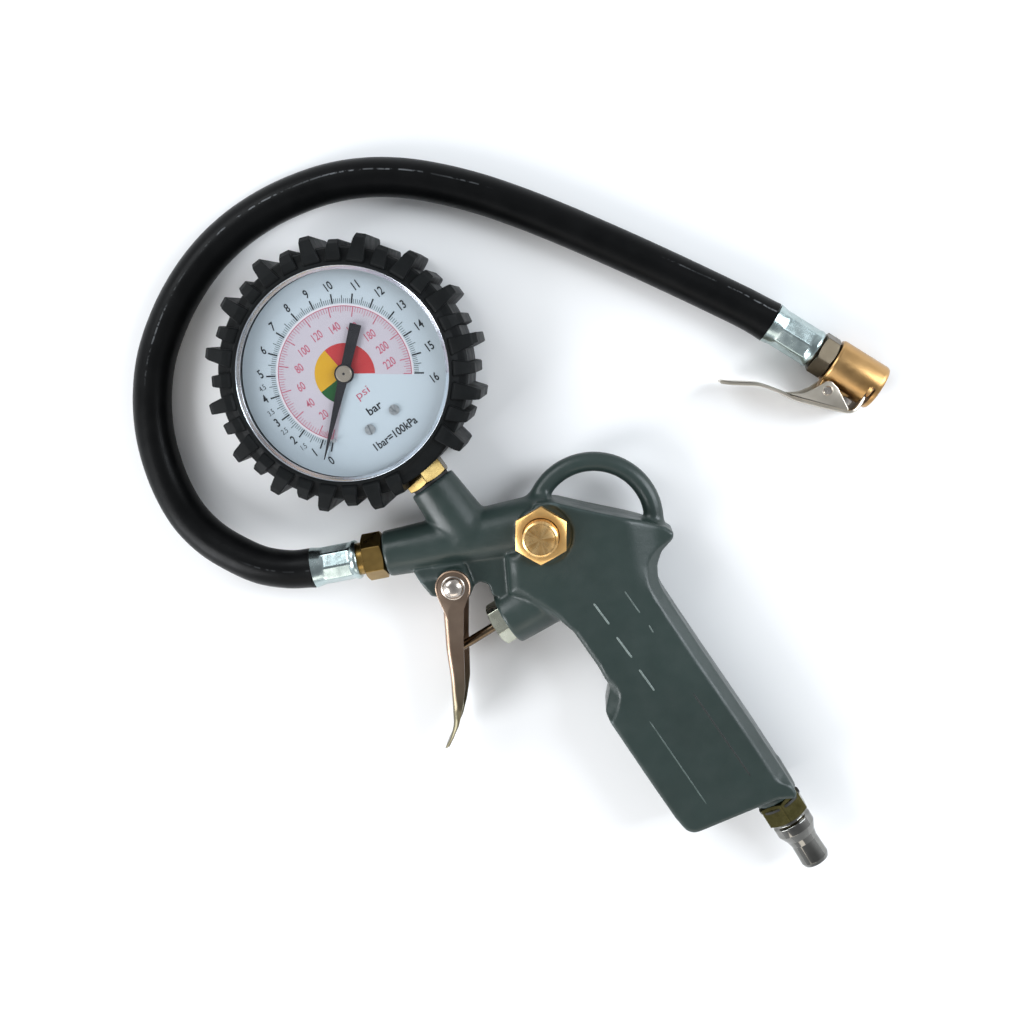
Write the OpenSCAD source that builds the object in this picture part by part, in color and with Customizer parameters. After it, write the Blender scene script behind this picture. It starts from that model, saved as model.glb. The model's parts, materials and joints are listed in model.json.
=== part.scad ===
// Hand tyre inflator: a cast pistol body with a sprung trigger, a dial pressure
// gauge in a rubber boot, a bleed button and a short hose with a clip-on chuck.
// Millimetres. +Z is the gauge axis and +X runs along the barrel from the hose
// end to the rear. The origin is the centre of the boot's flat back.

/* [Gauge] */
// Outer radius of the gauge case
case_r = 34.3; // [33:0.1:36]
// Wall of the pressed steel case
case_wall = 0.8; // [0.6:0.1:1.1]
// Depth of the case from its back to its front rim
case_depth = 27.5; // [27:0.5:29]
// Direction of the stem seen from the front, in degrees
stem_angle = -66; // [-70:1:-64]
// Width across the flats of the stem hexagon
stem_hex_af = 14; // [12:0.5:15]
// Mean radius of the Bourdon tube
tube_r = 25; // [24:0.5:26.5]
// Teeth on the pinion
pinion_teeth = 10; // [10:1:12]
// Sector gear turns once for this many turns of the pinion
gear_ratio = 6; // [6]
// Tooth module of the movement
gear_module = 0.4; // [0.38:0.01:0.4]
// Length of the needle from hub to tip
needle_tip = 28.5; // [26:0.5:30]

/* [Boot] */
// Thickness of the boot's back wall
boot_back = 2.5; // [2:0.1:3.5]
// Thickness of the boot's side wall at its base ring
boot_wall = 5.1; // [4.4:0.1:6]
// How far the tall blocks stand out of the base ring
tall_block = 4.4; // [3:0.1:5.5]
// How far the short blocks stand out of the base ring
short_block = 2.2; // [1:0.1:2.8]
// Width of a block
block_w = 3.1; // [2.5:0.1:3.6]
// Blocks around the boot, tall and short together
block_count = 32; // [24:4:36]

/* [Gun body] */
// Height of the barrel axis above the resting face
axis_z = 13.5; // [13.3:0.1:14]
// Distance from the gauge axis to the barrel axis
barrel_y = 61.7; // [61:0.1:64]
// Barrel radius at the hose end
barrel_r1 = 7.6; // [7:0.1:8.5]
// Barrel radius at the rear
barrel_r2 = 10.4; // [10:0.1:11]
// Radius of the hang loop, at the middle of its bar
loop_r = 19.7; // [19:0.1:20.5]
// Radius of the loop's round bar
loop_bar_r = 3; // [2.4:0.1:3.4]
// Half the width of the body around the barrel
body_half = 11.5; // [11:0.1:12.5]

/* [Handle] */
// Length of the handle from the valve axis to its foot
handle_len = 97.5; // [90:0.5:104]
// Distance from the air channel to the front of the palm swell
handle_front = 33.4; // [31:0.2:35]
// Distance from the air channel to the back of the handle
handle_back = 7.4; // [7.2:0.1:9]
// Direction of the handle, in degrees
handle_angle = -69; // [-71:1:-67]
// Radius of the air channel in the handle
channel_r = 4; // [3:0.1:4.5]

/* [Trigger] */
// Sheet thickness of the trigger
trigger_t = 1.2; // [1:0.1:1.4]
// Length of the trigger below its rivet
trigger_len = 54; // [53:0.5:58]
// Radius of the rivet shank
rivet_r = 2; // [1.6:0.1:2.3]
// Radius of the trigger's ears around the rivet
ear_r = 6; // [5.4:0.1:6.4]
// Half the width of the body lug between the ears
lug_half = 9; // [8:0.1:9.2]

/* [Main valve] */
// Direction of the valve axis, in degrees
valve_angle = 21; // [20:1:22]
// Radius of the push rod
rod_r = 1.5; // [1.2:0.1:1.8]
// Width across the flats of the gland nut
gland_af = 13; // [12.5:0.5:14]
// Height of the gland nut's hexagon
gland_hex_h = 4.6; // [4:0.1:5]
// Radius of the valve bore
valve_bore_r = 5; // [4.8:0.1:5.3]
// Radius of the poppet
poppet_r = 4.2; // [3.9:0.1:4.4]
// Wire thickness of the springs
spring_wire = 0.8; // [0.6:0.05:0.9]

/* [Bleed valve] */
// Width across the flats of the bleed nut
bleed_af = 16.5; // [15.5:0.5:18]
// Radius of the bleed nut's thread
bleed_thread_r = 7.9; // [7.2:0.1:8.2]
// Height of the nut's hexagon
bleed_hex_h = 4; // [3.5:0.1:5]
// Radius of the button
button_r = 5.9; // [5.4:0.1:6.3]
// How far the button stands above the hexagon
button_rise = 7; // [4:0.1:7]

/* [Hose] */
// Outer radius of the rubber hose
hose_r = 6.5; // [6:0.1:6.6]
// Radius of the brass barbs inside the hose
barb_r = 3.2; // [2.8:0.1:3.4]
// Radius of the air way in the fittings
air_r = 2.1; // [1.6:0.1:2.2]
// Outer radius of the crimped ferrules
ferrule_r = 6.2; // [6.1:0.05:6.5]
// Length of each ferrule
ferrule_len = 15.6; // [14:0.1:16]
// Width across the flats of the hose fittings
fitting_af = 14; // [13:0.5:15]

/* [Chuck] */
// Radius of the brass chuck body
chuck_r = 7.7; // [7.5:0.1:7.8]
// Length of the brass chuck body
chuck_len = 18; // [17.5:0.1:19]
// Radius of the mouth that takes the tyre valve
mouth_r = 4.1; // [3.95:0.05:4.2]
// Direction of the chuck, in degrees
chuck_angle = -43; // [-43]
// Length of the thumb tab beyond the lever's bend
tab_len = 24; // [22:1:25]

/* [Inlet plug] */
// Width across the flats of the plug's hexagon
plug_af = 14; // [13.5:0.5:15]
// Radius of the plug's collar
plug_collar_r = 6.8; // [6.5:0.1:7.1]
// Radius of the plug's nose
plug_nose_r = 5; // [4.8:0.1:5.3]
// Length of the plug outside the handle
plug_len = 25; // [24:0.5:27]

/* [Hidden] */
$fn = 64;
eps = 0.01;
gap = 0.05;        // clearance of a thread, a press fit or a running fit
free_gap = 0.3;    // clearance between pieces that move past each other
hull_fn = 24;

// ---- shared shapes ----

// Turns +Z to the horizontal direction a at the point p.
module along(p, a) {
    translate(p) rotate([0, 0, a]) rotate([0, 90, 0]) children();
}

module ring(r_out, r_in, h) {
    difference() {
        cylinder(r = r_out, h = h);
        translate([0, 0, -1]) cylinder(r = r_in, h = h + 2);
    }
}

module hexagon(af, h) {
    cylinder(r = af / 2 / cos(30), h = h, $fn = 6);
}

// Hexagon with a turned chamfer on its upper end.
module nut_hex(af, h) {
    intersection() {
        hexagon(af, h);
        union() {
            cylinder(r = af, h = h - af * 0.06);
            translate([0, 0, h - af * 0.06 - eps])
                cylinder(r1 = af * 0.58, r2 = af * 0.48, h = af * 0.06 + eps);
        }
    }
}

// Slab with a rounded plan and softened edges, centred on the barrel's level.
module soft_slab(points, half, edge, corner = 3) {
    hull() for (k = [0, 0.3, 1])
        translate([0, 0, -half + edge * (1 - k) * (1 - k)])
            linear_extrude(2 * (half - edge * (1 - k) * (1 - k)))
                offset(delta = -edge * k * k)
                    offset(r = corner, $fn = hull_fn) offset(delta = -corner) polygon(points);
}

// Wire coil that rises along +Z, with closed flat ends.
function coil_point(r, rise, turns, t) = [r * cos(360 * turns * t), r * sin(360 * turns * t), rise * t];
module coil(r, wire, height, turns) {
    sides = 6;
    steps = 10 * turns;
    rise = height - wire;
    pitch_angle = atan(rise / (2 * PI * r * turns));
    points = [for (i = [0:steps], j = [0:sides - 1])
        let (a = 360 * turns * i / steps, b = 360 * j / sides, c = coil_point(r, rise, turns, i / steps),
             out = wire / 2 * cos(b), up = wire / 2 * sin(b))
        c + [out * cos(a) + up * sin(pitch_angle) * sin(a), out * sin(a) - up * sin(pitch_angle) * cos(a),
             wire / 2 + up * cos(pitch_angle)]];
    sleeve_points(points, steps, sides);
}

// Closes rings of points into one tube.
module sleeve_points(points, steps, sides) {
    walls = [for (i = [0:steps - 1], j = [0:sides - 1])
        let (k = (j + 1) % sides)
        each [[i * sides + j, i * sides + k, (i + 1) * sides + k],
              [i * sides + j, (i + 1) * sides + k, (i + 1) * sides + j]]];
    first = [for (j = [1:sides - 2]) [0, j + 1, j]];
    last = [for (j = [1:sides - 2]) [steps * sides, steps * sides + j, steps * sides + j + 1]];
    polyhedron(points = points, faces = concat(walls, first, last), convexity = 6);
}

// ---- gauge sizes ----

case_z = boot_back;
case_front = case_z + case_depth;
case_in = case_r - case_wall;
stem_blocks = 2;                      // boot blocks left out to clear the stem's hexagon
block_r_in = 8;                       // half width of the socket block
block_half = 5;                       // half height of the socket block
lens_t = 1.4;
gasket_t = 0.7;
lens_z = case_front + gasket_t;
// the movement, dial and needle share the room between the socket block and the window
bottom_plate_z = axis_z + block_half;
layer = (lens_z - bottom_plate_z) / 12.2;
plate_t = layer;
sector_z = bottom_plate_z + plate_t + 0.8 * layer;
sector_t = layer;
link_z = sector_z + sector_t + 0.2 * layer;
link_t = 0.5 * layer;
top_plate_z = bottom_plate_z + plate_t + 4.4 * layer;
dial_t = 0.5 * layer;
dial_post = 1.7 * layer;
dial_z = top_plate_z + plate_t + dial_post;
dial_r = case_in - 0.2;
needle_z = dial_z + dial_t + layer;
needle_t = 0.4 * layer;
lens_r = case_r - 0.1;
bezel_t = 0.7;
bezel_r = case_r + gap + bezel_t;
bezel_front = lens_z + lens_t + gap + bezel_t;
bezel_lip = 2.1;
boot_in = bezel_r + gap;
boot_r = boot_in + boot_wall;
boot_lip = 0.7;
boot_front = bezel_front + 1.8;
gauge_turn = stem_angle + 90;
pinion_r = gear_module * pinion_teeth / 2;
sector_r = pinion_r * gear_ratio;
sector_teeth = pinion_teeth * gear_ratio;
sector_y = -(pinion_r + sector_r);    // arbor of the sector, below the pinion
needle_sweep = 255;
sector_sweep = needle_sweep / gear_ratio;
arbor_r = 0.7;
link_arm = 4.5;                       // from the sector's arbor to its link pin
link_pin_r = 0.6;
link_y = sector_y - link_arm * cos(sector_sweep / 2);
link_x = -link_arm * sin(sector_sweep / 2);
tip_x = 19;                           // pin on the Bourdon tube's tip
stem_thread_r = 4.85;
stem_hex_start = boot_r - 3.4;
stem_hex_h = 7.6;
neck_start = stem_hex_start + stem_hex_h + 0.8;
screw_radius = 19.6;                  // dial screws
screw_angles = [-47.5, -77.5];
needle_rest = -115.5;
stop_pin_r = 21.8;
stop_pin_w = 0.6;

// ---- gun sizes ----

barrel_x = -1.6;
barrel_len = 57.6;
rear_bore_len = 56;
gallery_r = 3.2;
thread_r = 4.87;                      // G 1/8 holes in the barrel and the neck
thread_depth = 11;
pivot = [19.5, -barrel_y - 14];
boss_face = [34, -barrel_y - 29.4];   // front of the valve boss
boss_r1 = 9.3;
boss_r2 = 11;
valve_dir = [cos(valve_angle), sin(valve_angle)];
boss_len = 44.6;
valve_depth = 51;
valve_cross = boss_face + boss_len * valve_dir;   // where the air channel meets the valve
column_x = 50.5;
column_r = 11.5;
bleed = [51.5, -barrel_y - 2.2];
bleed_face = axis_z + 10;             // spot face under the bleed nut
bleed_floor = 7.5;
bleed_chamber_r = 5.6;
bleed_thread_h = 9;
foot_step = 4;                        // inlet boss below the foot
swell_start = 37.6;                   // palm swell, measured down the handle
swell = 5.8;                          // and how far it stands forward
plug_thread_r = 6.4;
plug_thread_len = 12;
inlet_boss_r = 7.6;
loop_centre = [68.8, -barrel_y - 2.5];

// Point of the handle: a along the air channel from the valve axis, b towards the back.
function grip(a, b) = valve_cross + a * [cos(handle_angle), sin(handle_angle)]
    + b * [cos(handle_angle + 90), sin(handle_angle + 90)];
function on_valve(s, side = 0) = boss_face + s * valve_dir + side * [-valve_dir[1], valve_dir[0]];
foot = grip(handle_len + foot_step, 0);

// ---- trigger sizes ----

trigger_half = lug_half + free_gap + trigger_t;
trigger_front = [[-5, -5.3], [-5.6, -12.5], [-6.6, -20.2], [-7.2, -30.2], [-8.4, -39], [-9.9, -46.5],
                 [-11.8, -trigger_len + 3.4], [-14.4, -trigger_len]];
trigger_rear = [[1.8, -8.6], [-0.4, -18.8], [-1.5, -25.3], [-3.1, -34.3], [-5.8, -42], [-8.9, -48.5]];
web_inside = pivot[0] + trigger_t + lookup(-22.5, [for (p = trigger_front) [p[1], p[0]]]);
rod_tip = -(boss_face[0] - web_inside - 0.15 - rod_r) / cos(valve_angle) - rod_r;

// ---- hose sizes ----

ferrule_x = barrel_x - 9.4;           // face of the gun ferrule next to the hexagon
chuck_at = [138.2, -11.5, 8];         // where the hose enters the chuck's ferrule
chuck_hex = 18.2;
hex_h = 5;
body_at = chuck_hex + hex_h + 0.2;    // rear of the brass chuck body
lever_pin = [26.9, -9.2];
lever_pin_r = 1.2;
chuck_lug_half = 3.2;
lever_half = 6.6;
lever_t = 1;
jaw_u = 38.3;

hose_route = [[-26.7, -61.7, 13.5], [-35, -60.7, 13.3], [-44.2, -57.6, 12.6], [-52.6, -52.2, 11.3],
    [-60.3, -45.5, 9.7], [-66.5, -37, 8.1], [-70.4, -27, 7], [-72.1, -16.5, 6.6], [-72.1, -5.7, 6.6],
    [-70, 5.7, 6.6], [-65.7, 17.2, 6.6], [-59.2, 28, 6.6], [-50.9, 38, 6.6], [-41, 46.7, 6.6],
    [-29.8, 53.5, 6.6], [-17.5, 58.3, 6.6], [-5, 61.1, 6.6], [6.8, 62.1, 6.6], [18.4, 61.2, 6.6],
    [29.6, 58.6, 6.6], [41, 54.3, 6.6], [52.8, 48.6, 6.6], [64.8, 41.6, 6.6], [76.7, 33.9, 6.6],
    [88.5, 25.8, 6.6], [100.5, 17.3, 6.7], [112.7, 8.4, 6.9], [125, -0.8, 7.4], [132, -6.2, 7.8],
    [138.1, -11.4, 8]];

// Point u along the chuck and v to its left.
function chuck_point(u, v) = [chuck_at[0] + u * cos(chuck_angle) - v * sin(chuck_angle),
                              chuck_at[1] + u * sin(chuck_angle) + v * cos(chuck_angle)];

module chuck_frame() {
    translate(chuck_at) rotate([0, 0, chuck_angle]) children();
}

module gauge_frame() {
    rotate([0, 0, gauge_turn]) children();
}

// Axis of the stem, +Z pointing out of the gauge.
module stem_frame(r) {
    along([r * cos(stem_angle), r * sin(stem_angle), axis_z], stem_angle) children();
}

module valve_frame(s) {
    p = on_valve(s);
    along([p[0], p[1], axis_z], valve_angle) children();
}

module plug_frame(t) {
    p = foot + t * [cos(handle_angle), sin(handle_angle)];
    along([p[0], p[1], axis_z], handle_angle) children();
}

// ---- gun body ----

module casting() {
    // barrel, neck, valve boss, column and inlet boss
    along([barrel_x, -barrel_y, axis_z], 0) cylinder(r1 = barrel_r1, r2 = barrel_r2, h = barrel_len);
    stem_frame(neck_start) cylinder(r1 = 8, r2 = 9.6, h = barrel_y / sin(-stem_angle) - neck_start);
    valve_frame(0) cylinder(r1 = boss_r1, r2 = boss_r2, h = boss_len);
    along([column_x, -barrel_y, axis_z], -90) cylinder(r = column_r, h = 20);
    plug_frame(-foot_step - 8) cylinder(r = inlet_boss_r, h = foot_step + 8);
    translate([bleed[0], bleed[1], axis_z]) cylinder(r = 12.6, h = bleed_face - axis_z);
    // lug for the trigger and the web between barrel and valve boss
    translate([pivot[0], pivot[1], axis_z - lug_half]) cylinder(r = ear_r + 0.3, h = 2 * lug_half);
    translate([0, 0, axis_z - lug_half]) linear_extrude(2 * lug_half)
        polygon([[6.2, -barrel_y - 5], [8.6, -barrel_y - 10], [pivot[0] - 6.2, pivot[1] - 2],
                 [pivot[0], pivot[1]], [pivot[0] + 6, pivot[1] + 2], [21, -barrel_y - 4]]);
    translate([0, 0, axis_z - 5.5]) linear_extrude(11)
        polygon([[pivot[0], -barrel_y - 3], [44, -barrel_y - 3], [44, -barrel_y - 24],
                 on_valve(0.5, 4), on_valve(0.5, 8), [31.4, -barrel_y - 19], [30.4, -barrel_y - 15.8],
                 [28.2, -barrel_y - 14.7], [25, -barrel_y - 16.4], [pivot[0], pivot[1]]]);
    // body behind the barrel, beak and handle
    translate([0, 0, axis_z]) {
        soft_slab([[41, -barrel_y + 9], [50.3, -barrel_y + 9.9], [57.3, -barrel_y + 8],
                   [83.6, -barrel_y - 3.7], [86.4, -barrel_y - 20], grip(16, handle_back - 1),
                   grip(18, -25), grip(11, -handle_front + 5), [42, -barrel_y - 27]], body_half, 5);
        soft_slab([[78, -barrel_y - 1.2], [91, -barrel_y - 6.7], [94, -barrel_y - 9.7],
                   [93.6, -barrel_y - 12.2], [89.4, -barrel_y - 15.1], [86, -barrel_y - 20],
                   [78, -barrel_y - 18]], 8.5, 4, 1);
        soft_slab([grip(10, -handle_front + swell), grip(swell_start, -handle_front + swell),
                   grip(swell_start + 6, -20), grip(swell_start + 6, handle_back),
                   grip(26, handle_back + 1.2), grip(16, handle_back - 1)],
                  axis_z - 0.8, 6);
        soft_slab([grip(swell_start, -handle_front + swell), grip(swell_start + swell, -handle_front),
                   grip(handle_len - 7, -handle_front + 1), grip(handle_len - 3.8, -handle_front + 4.6),
                   grip(handle_len + 0.4, -9), grip(handle_len + foot_step - 1.4, handle_back - 1),
                   grip(handle_len + 1, handle_back), grip(swell_start, handle_back + 0.4)],
                  axis_z, 6);
    }
    // hang loop
    translate([loop_centre[0], loop_centre[1], axis_z]) rotate([0, 0, -42])
        rotate_extrude(angle = 212) translate([loop_r, 0]) circle(r = loop_bar_r, $fn = 32);
}

module gun_body() {
    color("darkslategray") difference() {
        casting();
        // barrel: hose thread and gallery
        along([barrel_x - 1, -barrel_y, axis_z], 0) cylinder(r = thread_r, h = thread_depth + 1);
        along([barrel_x, -barrel_y, axis_z], 0) cylinder(r = gallery_r, h = rear_bore_len);
        // neck: gauge thread and its passage
        stem_frame(neck_start - 4) cylinder(r = thread_r, h = thread_depth + 4);
        stem_frame(neck_start) cylinder(r = 2, h = barrel_y / sin(-stem_angle) - neck_start);
        // main valve bore with the gland's thread
        valve_frame(-3) cylinder(r = valve_bore_r, h = valve_depth + 3);
        valve_frame(-3) cylinder(r = valve_bore_r + 0.6, h = gland_thread_len + 3);
        // passage from the valve up to the barrel
        along([column_x, -barrel_y, axis_z], -90) cylinder(r = 3, h = 23);
        // air channel and inlet thread in the handle
        plug_frame(-handle_len - foot_step) cylinder(r = channel_r, h = handle_len + foot_step + 1);
        plug_frame(-plug_thread_len) cylinder(r = plug_thread_r, h = plug_thread_len + 4);
        // bleed valve, with its spot face
        translate([bleed[0], bleed[1], bleed_floor]) cylinder(r = bleed_chamber_r, h = 20);
        translate([bleed[0], bleed[1], bleed_face - bleed_thread_h])
            cylinder(r = bleed_thread_r + gap, h = bleed_thread_h + 5);
        translate([bleed[0], bleed[1], bleed_face]) cylinder(r = bleed_af * 0.6, h = 8);
        // rivet
        translate([pivot[0], pivot[1], 0]) cylinder(r = rivet_r + gap, h = 2 * axis_z);
    }
}

// ---- inlet ----

module inlet_plug() {
    t = plug_len;
    color("silver") difference() {
        union() {
            plug_frame(-plug_thread_len + 1) cylinder(r = plug_thread_r - gap, h = plug_thread_len);
            plug_frame(0.8) nut_hex(plug_af, 5.6);
            plug_frame(0) rotate_extrude() polygon([[0, 5], [5.9, 5], [5.9, 7.4], [plug_collar_r, 8.2],
                [plug_collar_r, 11.4], [plug_nose_r + 0.4, 14], [plug_nose_r, 14.4],
                [plug_nose_r, t - 0.8], [plug_nose_r - 0.8, t], [0, t]]);
        }
        plug_frame(-plug_thread_len) cylinder(r = 3.2, h = plug_thread_len + t + 1);
    }
}

module inlet_seal() {
    color("black") plug_frame(0) ring(7.6, plug_thread_r, 0.8);
}

// ---- main valve ----

gland_thread_len = 8;
sleeve_s = gland_thread_len + 2.5;
seat_s = 31;
head_s = seat_s + 2;

module gland_nut() {
    color("gainsboro") difference() {
        union() {
            valve_frame(0) mirror([0, 0, 1]) rotate([0, 0, 15]) nut_hex(gland_af, gland_hex_h);
            valve_frame(-eps) cylinder(r = valve_bore_r + 0.6 - gap, h = gland_thread_len - 0.2);
        }
        valve_frame(-gland_hex_h - 1) cylinder(r = rod_r + gap, h = gland_hex_h + 10);
        // recess at the mouth of the guide
        valve_frame(-gland_hex_h - 1) cylinder(r = rod_r + 1.4, h = 3);
    }
}

module rod_seal() {
    color("black") valve_frame(gland_thread_len)
        ring(valve_bore_r - gap, rod_r + gap, sleeve_s - gland_thread_len);
}

module valve_sleeve() {
    color("goldenrod") difference() {
        valve_frame(sleeve_s) cylinder(r = valve_bore_r - gap, h = seat_s - sleeve_s);
        valve_frame(sleeve_s - 1) cylinder(r = rod_r + gap, h = seat_s);
        valve_frame(sleeve_s + 4.5) cylinder(r = poppet_r - 1, h = seat_s);
        along([column_x, -barrel_y, axis_z], -90) cylinder(r = 2.4, h = 23);
    }
}

module valve_rod() {
    color("silver") {
        valve_frame(rod_tip + rod_r) cylinder(r = rod_r, h = head_s - rod_tip - rod_r + 1);
        valve_frame(rod_tip + rod_r) sphere(r = rod_r);
        valve_frame(head_s) cylinder(r = poppet_r, h = 2.6);
        valve_frame(head_s + 2.5) cylinder(r = poppet_r - 1.6, h = 3);
    }
}

module valve_poppet_seal() {
    color("black") valve_frame(seat_s + gap) ring(poppet_r, rod_r + gap, head_s - seat_s - gap);
}

module valve_spring() {
    from = head_s + 2.6;
    color("dimgray") valve_frame(from)
        coil(poppet_r - spring_wire / 2 - 0.3, spring_wire, valve_depth - from, 6);
}

// ---- bleed valve ----

bleed_hex_top = bleed_face + bleed_hex_h;
button_top = bleed_hex_top + button_rise;
bleed_seat = bleed_face - bleed_thread_h + 0.6;
bleed_floor_t = 2.6;
button_under = bleed_seat + bleed_floor_t + 5.4;
stem_r = 2.2;

module at_bleed(z) {
    translate([bleed[0], bleed[1], z]) children();
}

module bleed_nut() {
    color("goldenrod") difference() {
        union() {
            at_bleed(bleed_face) rotate([0, 0, 18.5]) nut_hex(bleed_af, bleed_hex_h);
            at_bleed(bleed_seat) cylinder(r = bleed_thread_r, h = bleed_face - bleed_seat + eps);
        }
        at_bleed(bleed_seat - 1) cylinder(r = stem_r + 0.6, h = bleed_floor_t + 2);
        at_bleed(bleed_seat + bleed_floor_t) cylinder(r = button_r + 0.2, h = 30);
    }
}

module bleed_button() {
    color("goldenrod") {
        at_bleed(button_under) cylinder(r = button_r, h = button_top - button_under - 0.5);
        at_bleed(button_top - 0.5 - eps) cylinder(r1 = button_r, r2 = button_r - 0.5, h = 0.5);
        at_bleed(bleed_seat - 3) cylinder(r = stem_r, h = button_under - bleed_seat + 3.1);
    }
}

module bleed_poppet() {
    color("goldenrod") at_bleed(bleed_seat - 3) ring(4.6, stem_r, 1.6);
}

module bleed_seal() {
    color("black") at_bleed(bleed_seat - 1.4) ring(4.6, stem_r, 1.4 - gap);
}

module bleed_spring() {
    from = bleed_seat + bleed_floor_t;
    color("dimgray") at_bleed(from) coil(4.2, spring_wire, button_under - from, 3);
}

// ---- trigger ----

module trigger_wall() {
    translate([pivot[0], pivot[1], 0]) {
        circle(r = ear_r);
        polygon(concat([[-5.9, -1]], trigger_front,
            [for (i = [len(trigger_rear) - 1:-1:0]) trigger_rear[i]], [[4.2, -4.2], [0, 0]]));
    }
}

module trigger_lever() {
    n = len(trigger_front);
    web = concat(trigger_front, [for (i = [n - 1:-1:0]) trigger_front[i] + [trigger_t, 0]]);
    color("rosybrown") difference() {
        union() {
            for (side = [-1, 1])
                translate([0, 0, axis_z + side * (trigger_half - trigger_t / 2) - trigger_t / 2])
                    linear_extrude(trigger_t) trigger_wall();
            translate([pivot[0], pivot[1], axis_z - trigger_half + trigger_t / 2])
                linear_extrude(2 * trigger_half - trigger_t) polygon(web);
        }
        translate([pivot[0], pivot[1], 0]) cylinder(r = rivet_r + gap, h = 60, center = true);
    }
}

module trigger_rivet() {
    outer = trigger_half + gap;
    color("silver") translate([pivot[0], pivot[1], axis_z]) {
        translate([0, 0, -outer]) cylinder(r = rivet_r, h = 2 * outer);
        for (side = [0, 1]) mirror([0, 0, side]) {
            translate([0, 0, outer]) cylinder(r = rivet_r + 1.5, h = 0.4);
            translate([0, 0, outer + 0.4]) intersection() {
                translate([0, 0, -1.6]) sphere(r = 3.85);
                cylinder(r = rivet_r + 1.5, h = 4);
            }
        }
    }
}

// ---- hose and its fittings ----

module barb(len) {
    cylinder(r = barb_r - 0.4, h = len);
    for (i = [0:4]) translate([0, 0, 1.5 + i * 2.6]) cylinder(r1 = barb_r - 0.4, r2 = barb_r, h = 2);
}

module hose_fitting() {
    hex_end = ferrule_x + 1.8;
    color("goldenrod") difference() {
        union() {
            along([hex_end, -barrel_y, axis_z], 0) rotate([0, 0, 30])
                hexagon(fitting_af, barrel_x - 0.2 - hex_end);
            along([ferrule_x, -barrel_y, axis_z], 0) cylinder(r = 5.4, h = 3);
            along([barrel_x - 1, -barrel_y, axis_z], 0) cylinder(r = thread_r - gap, h = thread_depth - 0.5);
            along([ferrule_x - ferrule_len + 1.5, -barrel_y, axis_z], 0) barb(ferrule_len - 1);
        }
        along([ferrule_x - 40, -barrel_y, axis_z], 0) cylinder(r = air_r, h = 80);
    }
}

// Crimped ferrule with a collar at each end, mouth at the origin.
module ferrule() {
    skin = 0.65;
    difference() {
        union() {
            cylinder(r = ferrule_r, h = ferrule_len);
            cylinder(r = ferrule_r + 0.35, h = 1.6);
            translate([0, 0, ferrule_len - 1.6]) cylinder(r = ferrule_r + 0.35, h = 1.6);
        }
        translate([0, 0, -1]) cylinder(r = ferrule_r - skin, h = ferrule_len + 2);
        // six crimped flats
        for (i = [0:5]) rotate([0, 0, 60 * i]) translate([ferrule_r - 0.25, -5, 2.6])
            cube([4, 10, ferrule_len - 5.2]);
    }
}

module gun_ferrule() {
    color("lightgray") along([ferrule_x - ferrule_len, -barrel_y, axis_z], 0) ferrule();
}

hose_end_r = ferrule_r - 0.65 - gap;

// End of the hose under a ferrule, with the hole for the barb.
module hose_end(len) {
    difference() {
        translate([0, 0, -2]) cylinder(r = hose_end_r, h = len + 2);
        translate([0, 0, 0.2]) cylinder(r = barb_r + gap, h = len);
    }
}

module hose() {
    sides = 12;
    n = len(hose_route) - 1;
    directions = [for (i = [0:n])
        i == 0 ? [-1, 0, 0] :
        i == n ? [cos(chuck_angle), sin(chuck_angle), 0] :
        let (d = hose_route[i + 1] - hose_route[i - 1]) d / norm(d)];
    points = [for (i = [0:n], j = [0:sides - 1])
        let (t = directions[i], side = cross(t, [0, 0, 1]) / norm(cross(t, [0, 0, 1])),
             up = cross(side, t), b = 360 * j / sides)
        hose_route[i] + hose_r * (cos(b) * side + sin(b) * up)];
    color("black") {
        sleeve_points(points, n, sides);
        along([ferrule_x - ferrule_len, -barrel_y, axis_z], 0) hose_end(ferrule_len - 0.3);
        along(chuck_at, chuck_angle) hose_end(ferrule_len - 0.3);
    }
}

// ---- chuck ----

module chuck_ferrule() {
    color("lightgray") along(chuck_at, chuck_angle) ferrule();
}

module chuck_adapter() {
    color("silver") along(chuck_at, chuck_angle) difference() {
        union() {
            translate([0, 0, chuck_hex]) rotate([0, 0, 15]) hexagon(fitting_af - 1, hex_h);
            translate([0, 0, ferrule_len + gap]) cylinder(r = 5.4, h = chuck_hex - ferrule_len);
            translate([0, 0, chuck_hex + hex_h - eps]) cylinder(r = thread_r - gap, h = 5);
            translate([0, 0, 1.5]) barb(ferrule_len);
        }
        cylinder(r = air_r, h = 60);
    }
}

seal_u = body_at + 5.9;
seal_len = 3.7;

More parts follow.
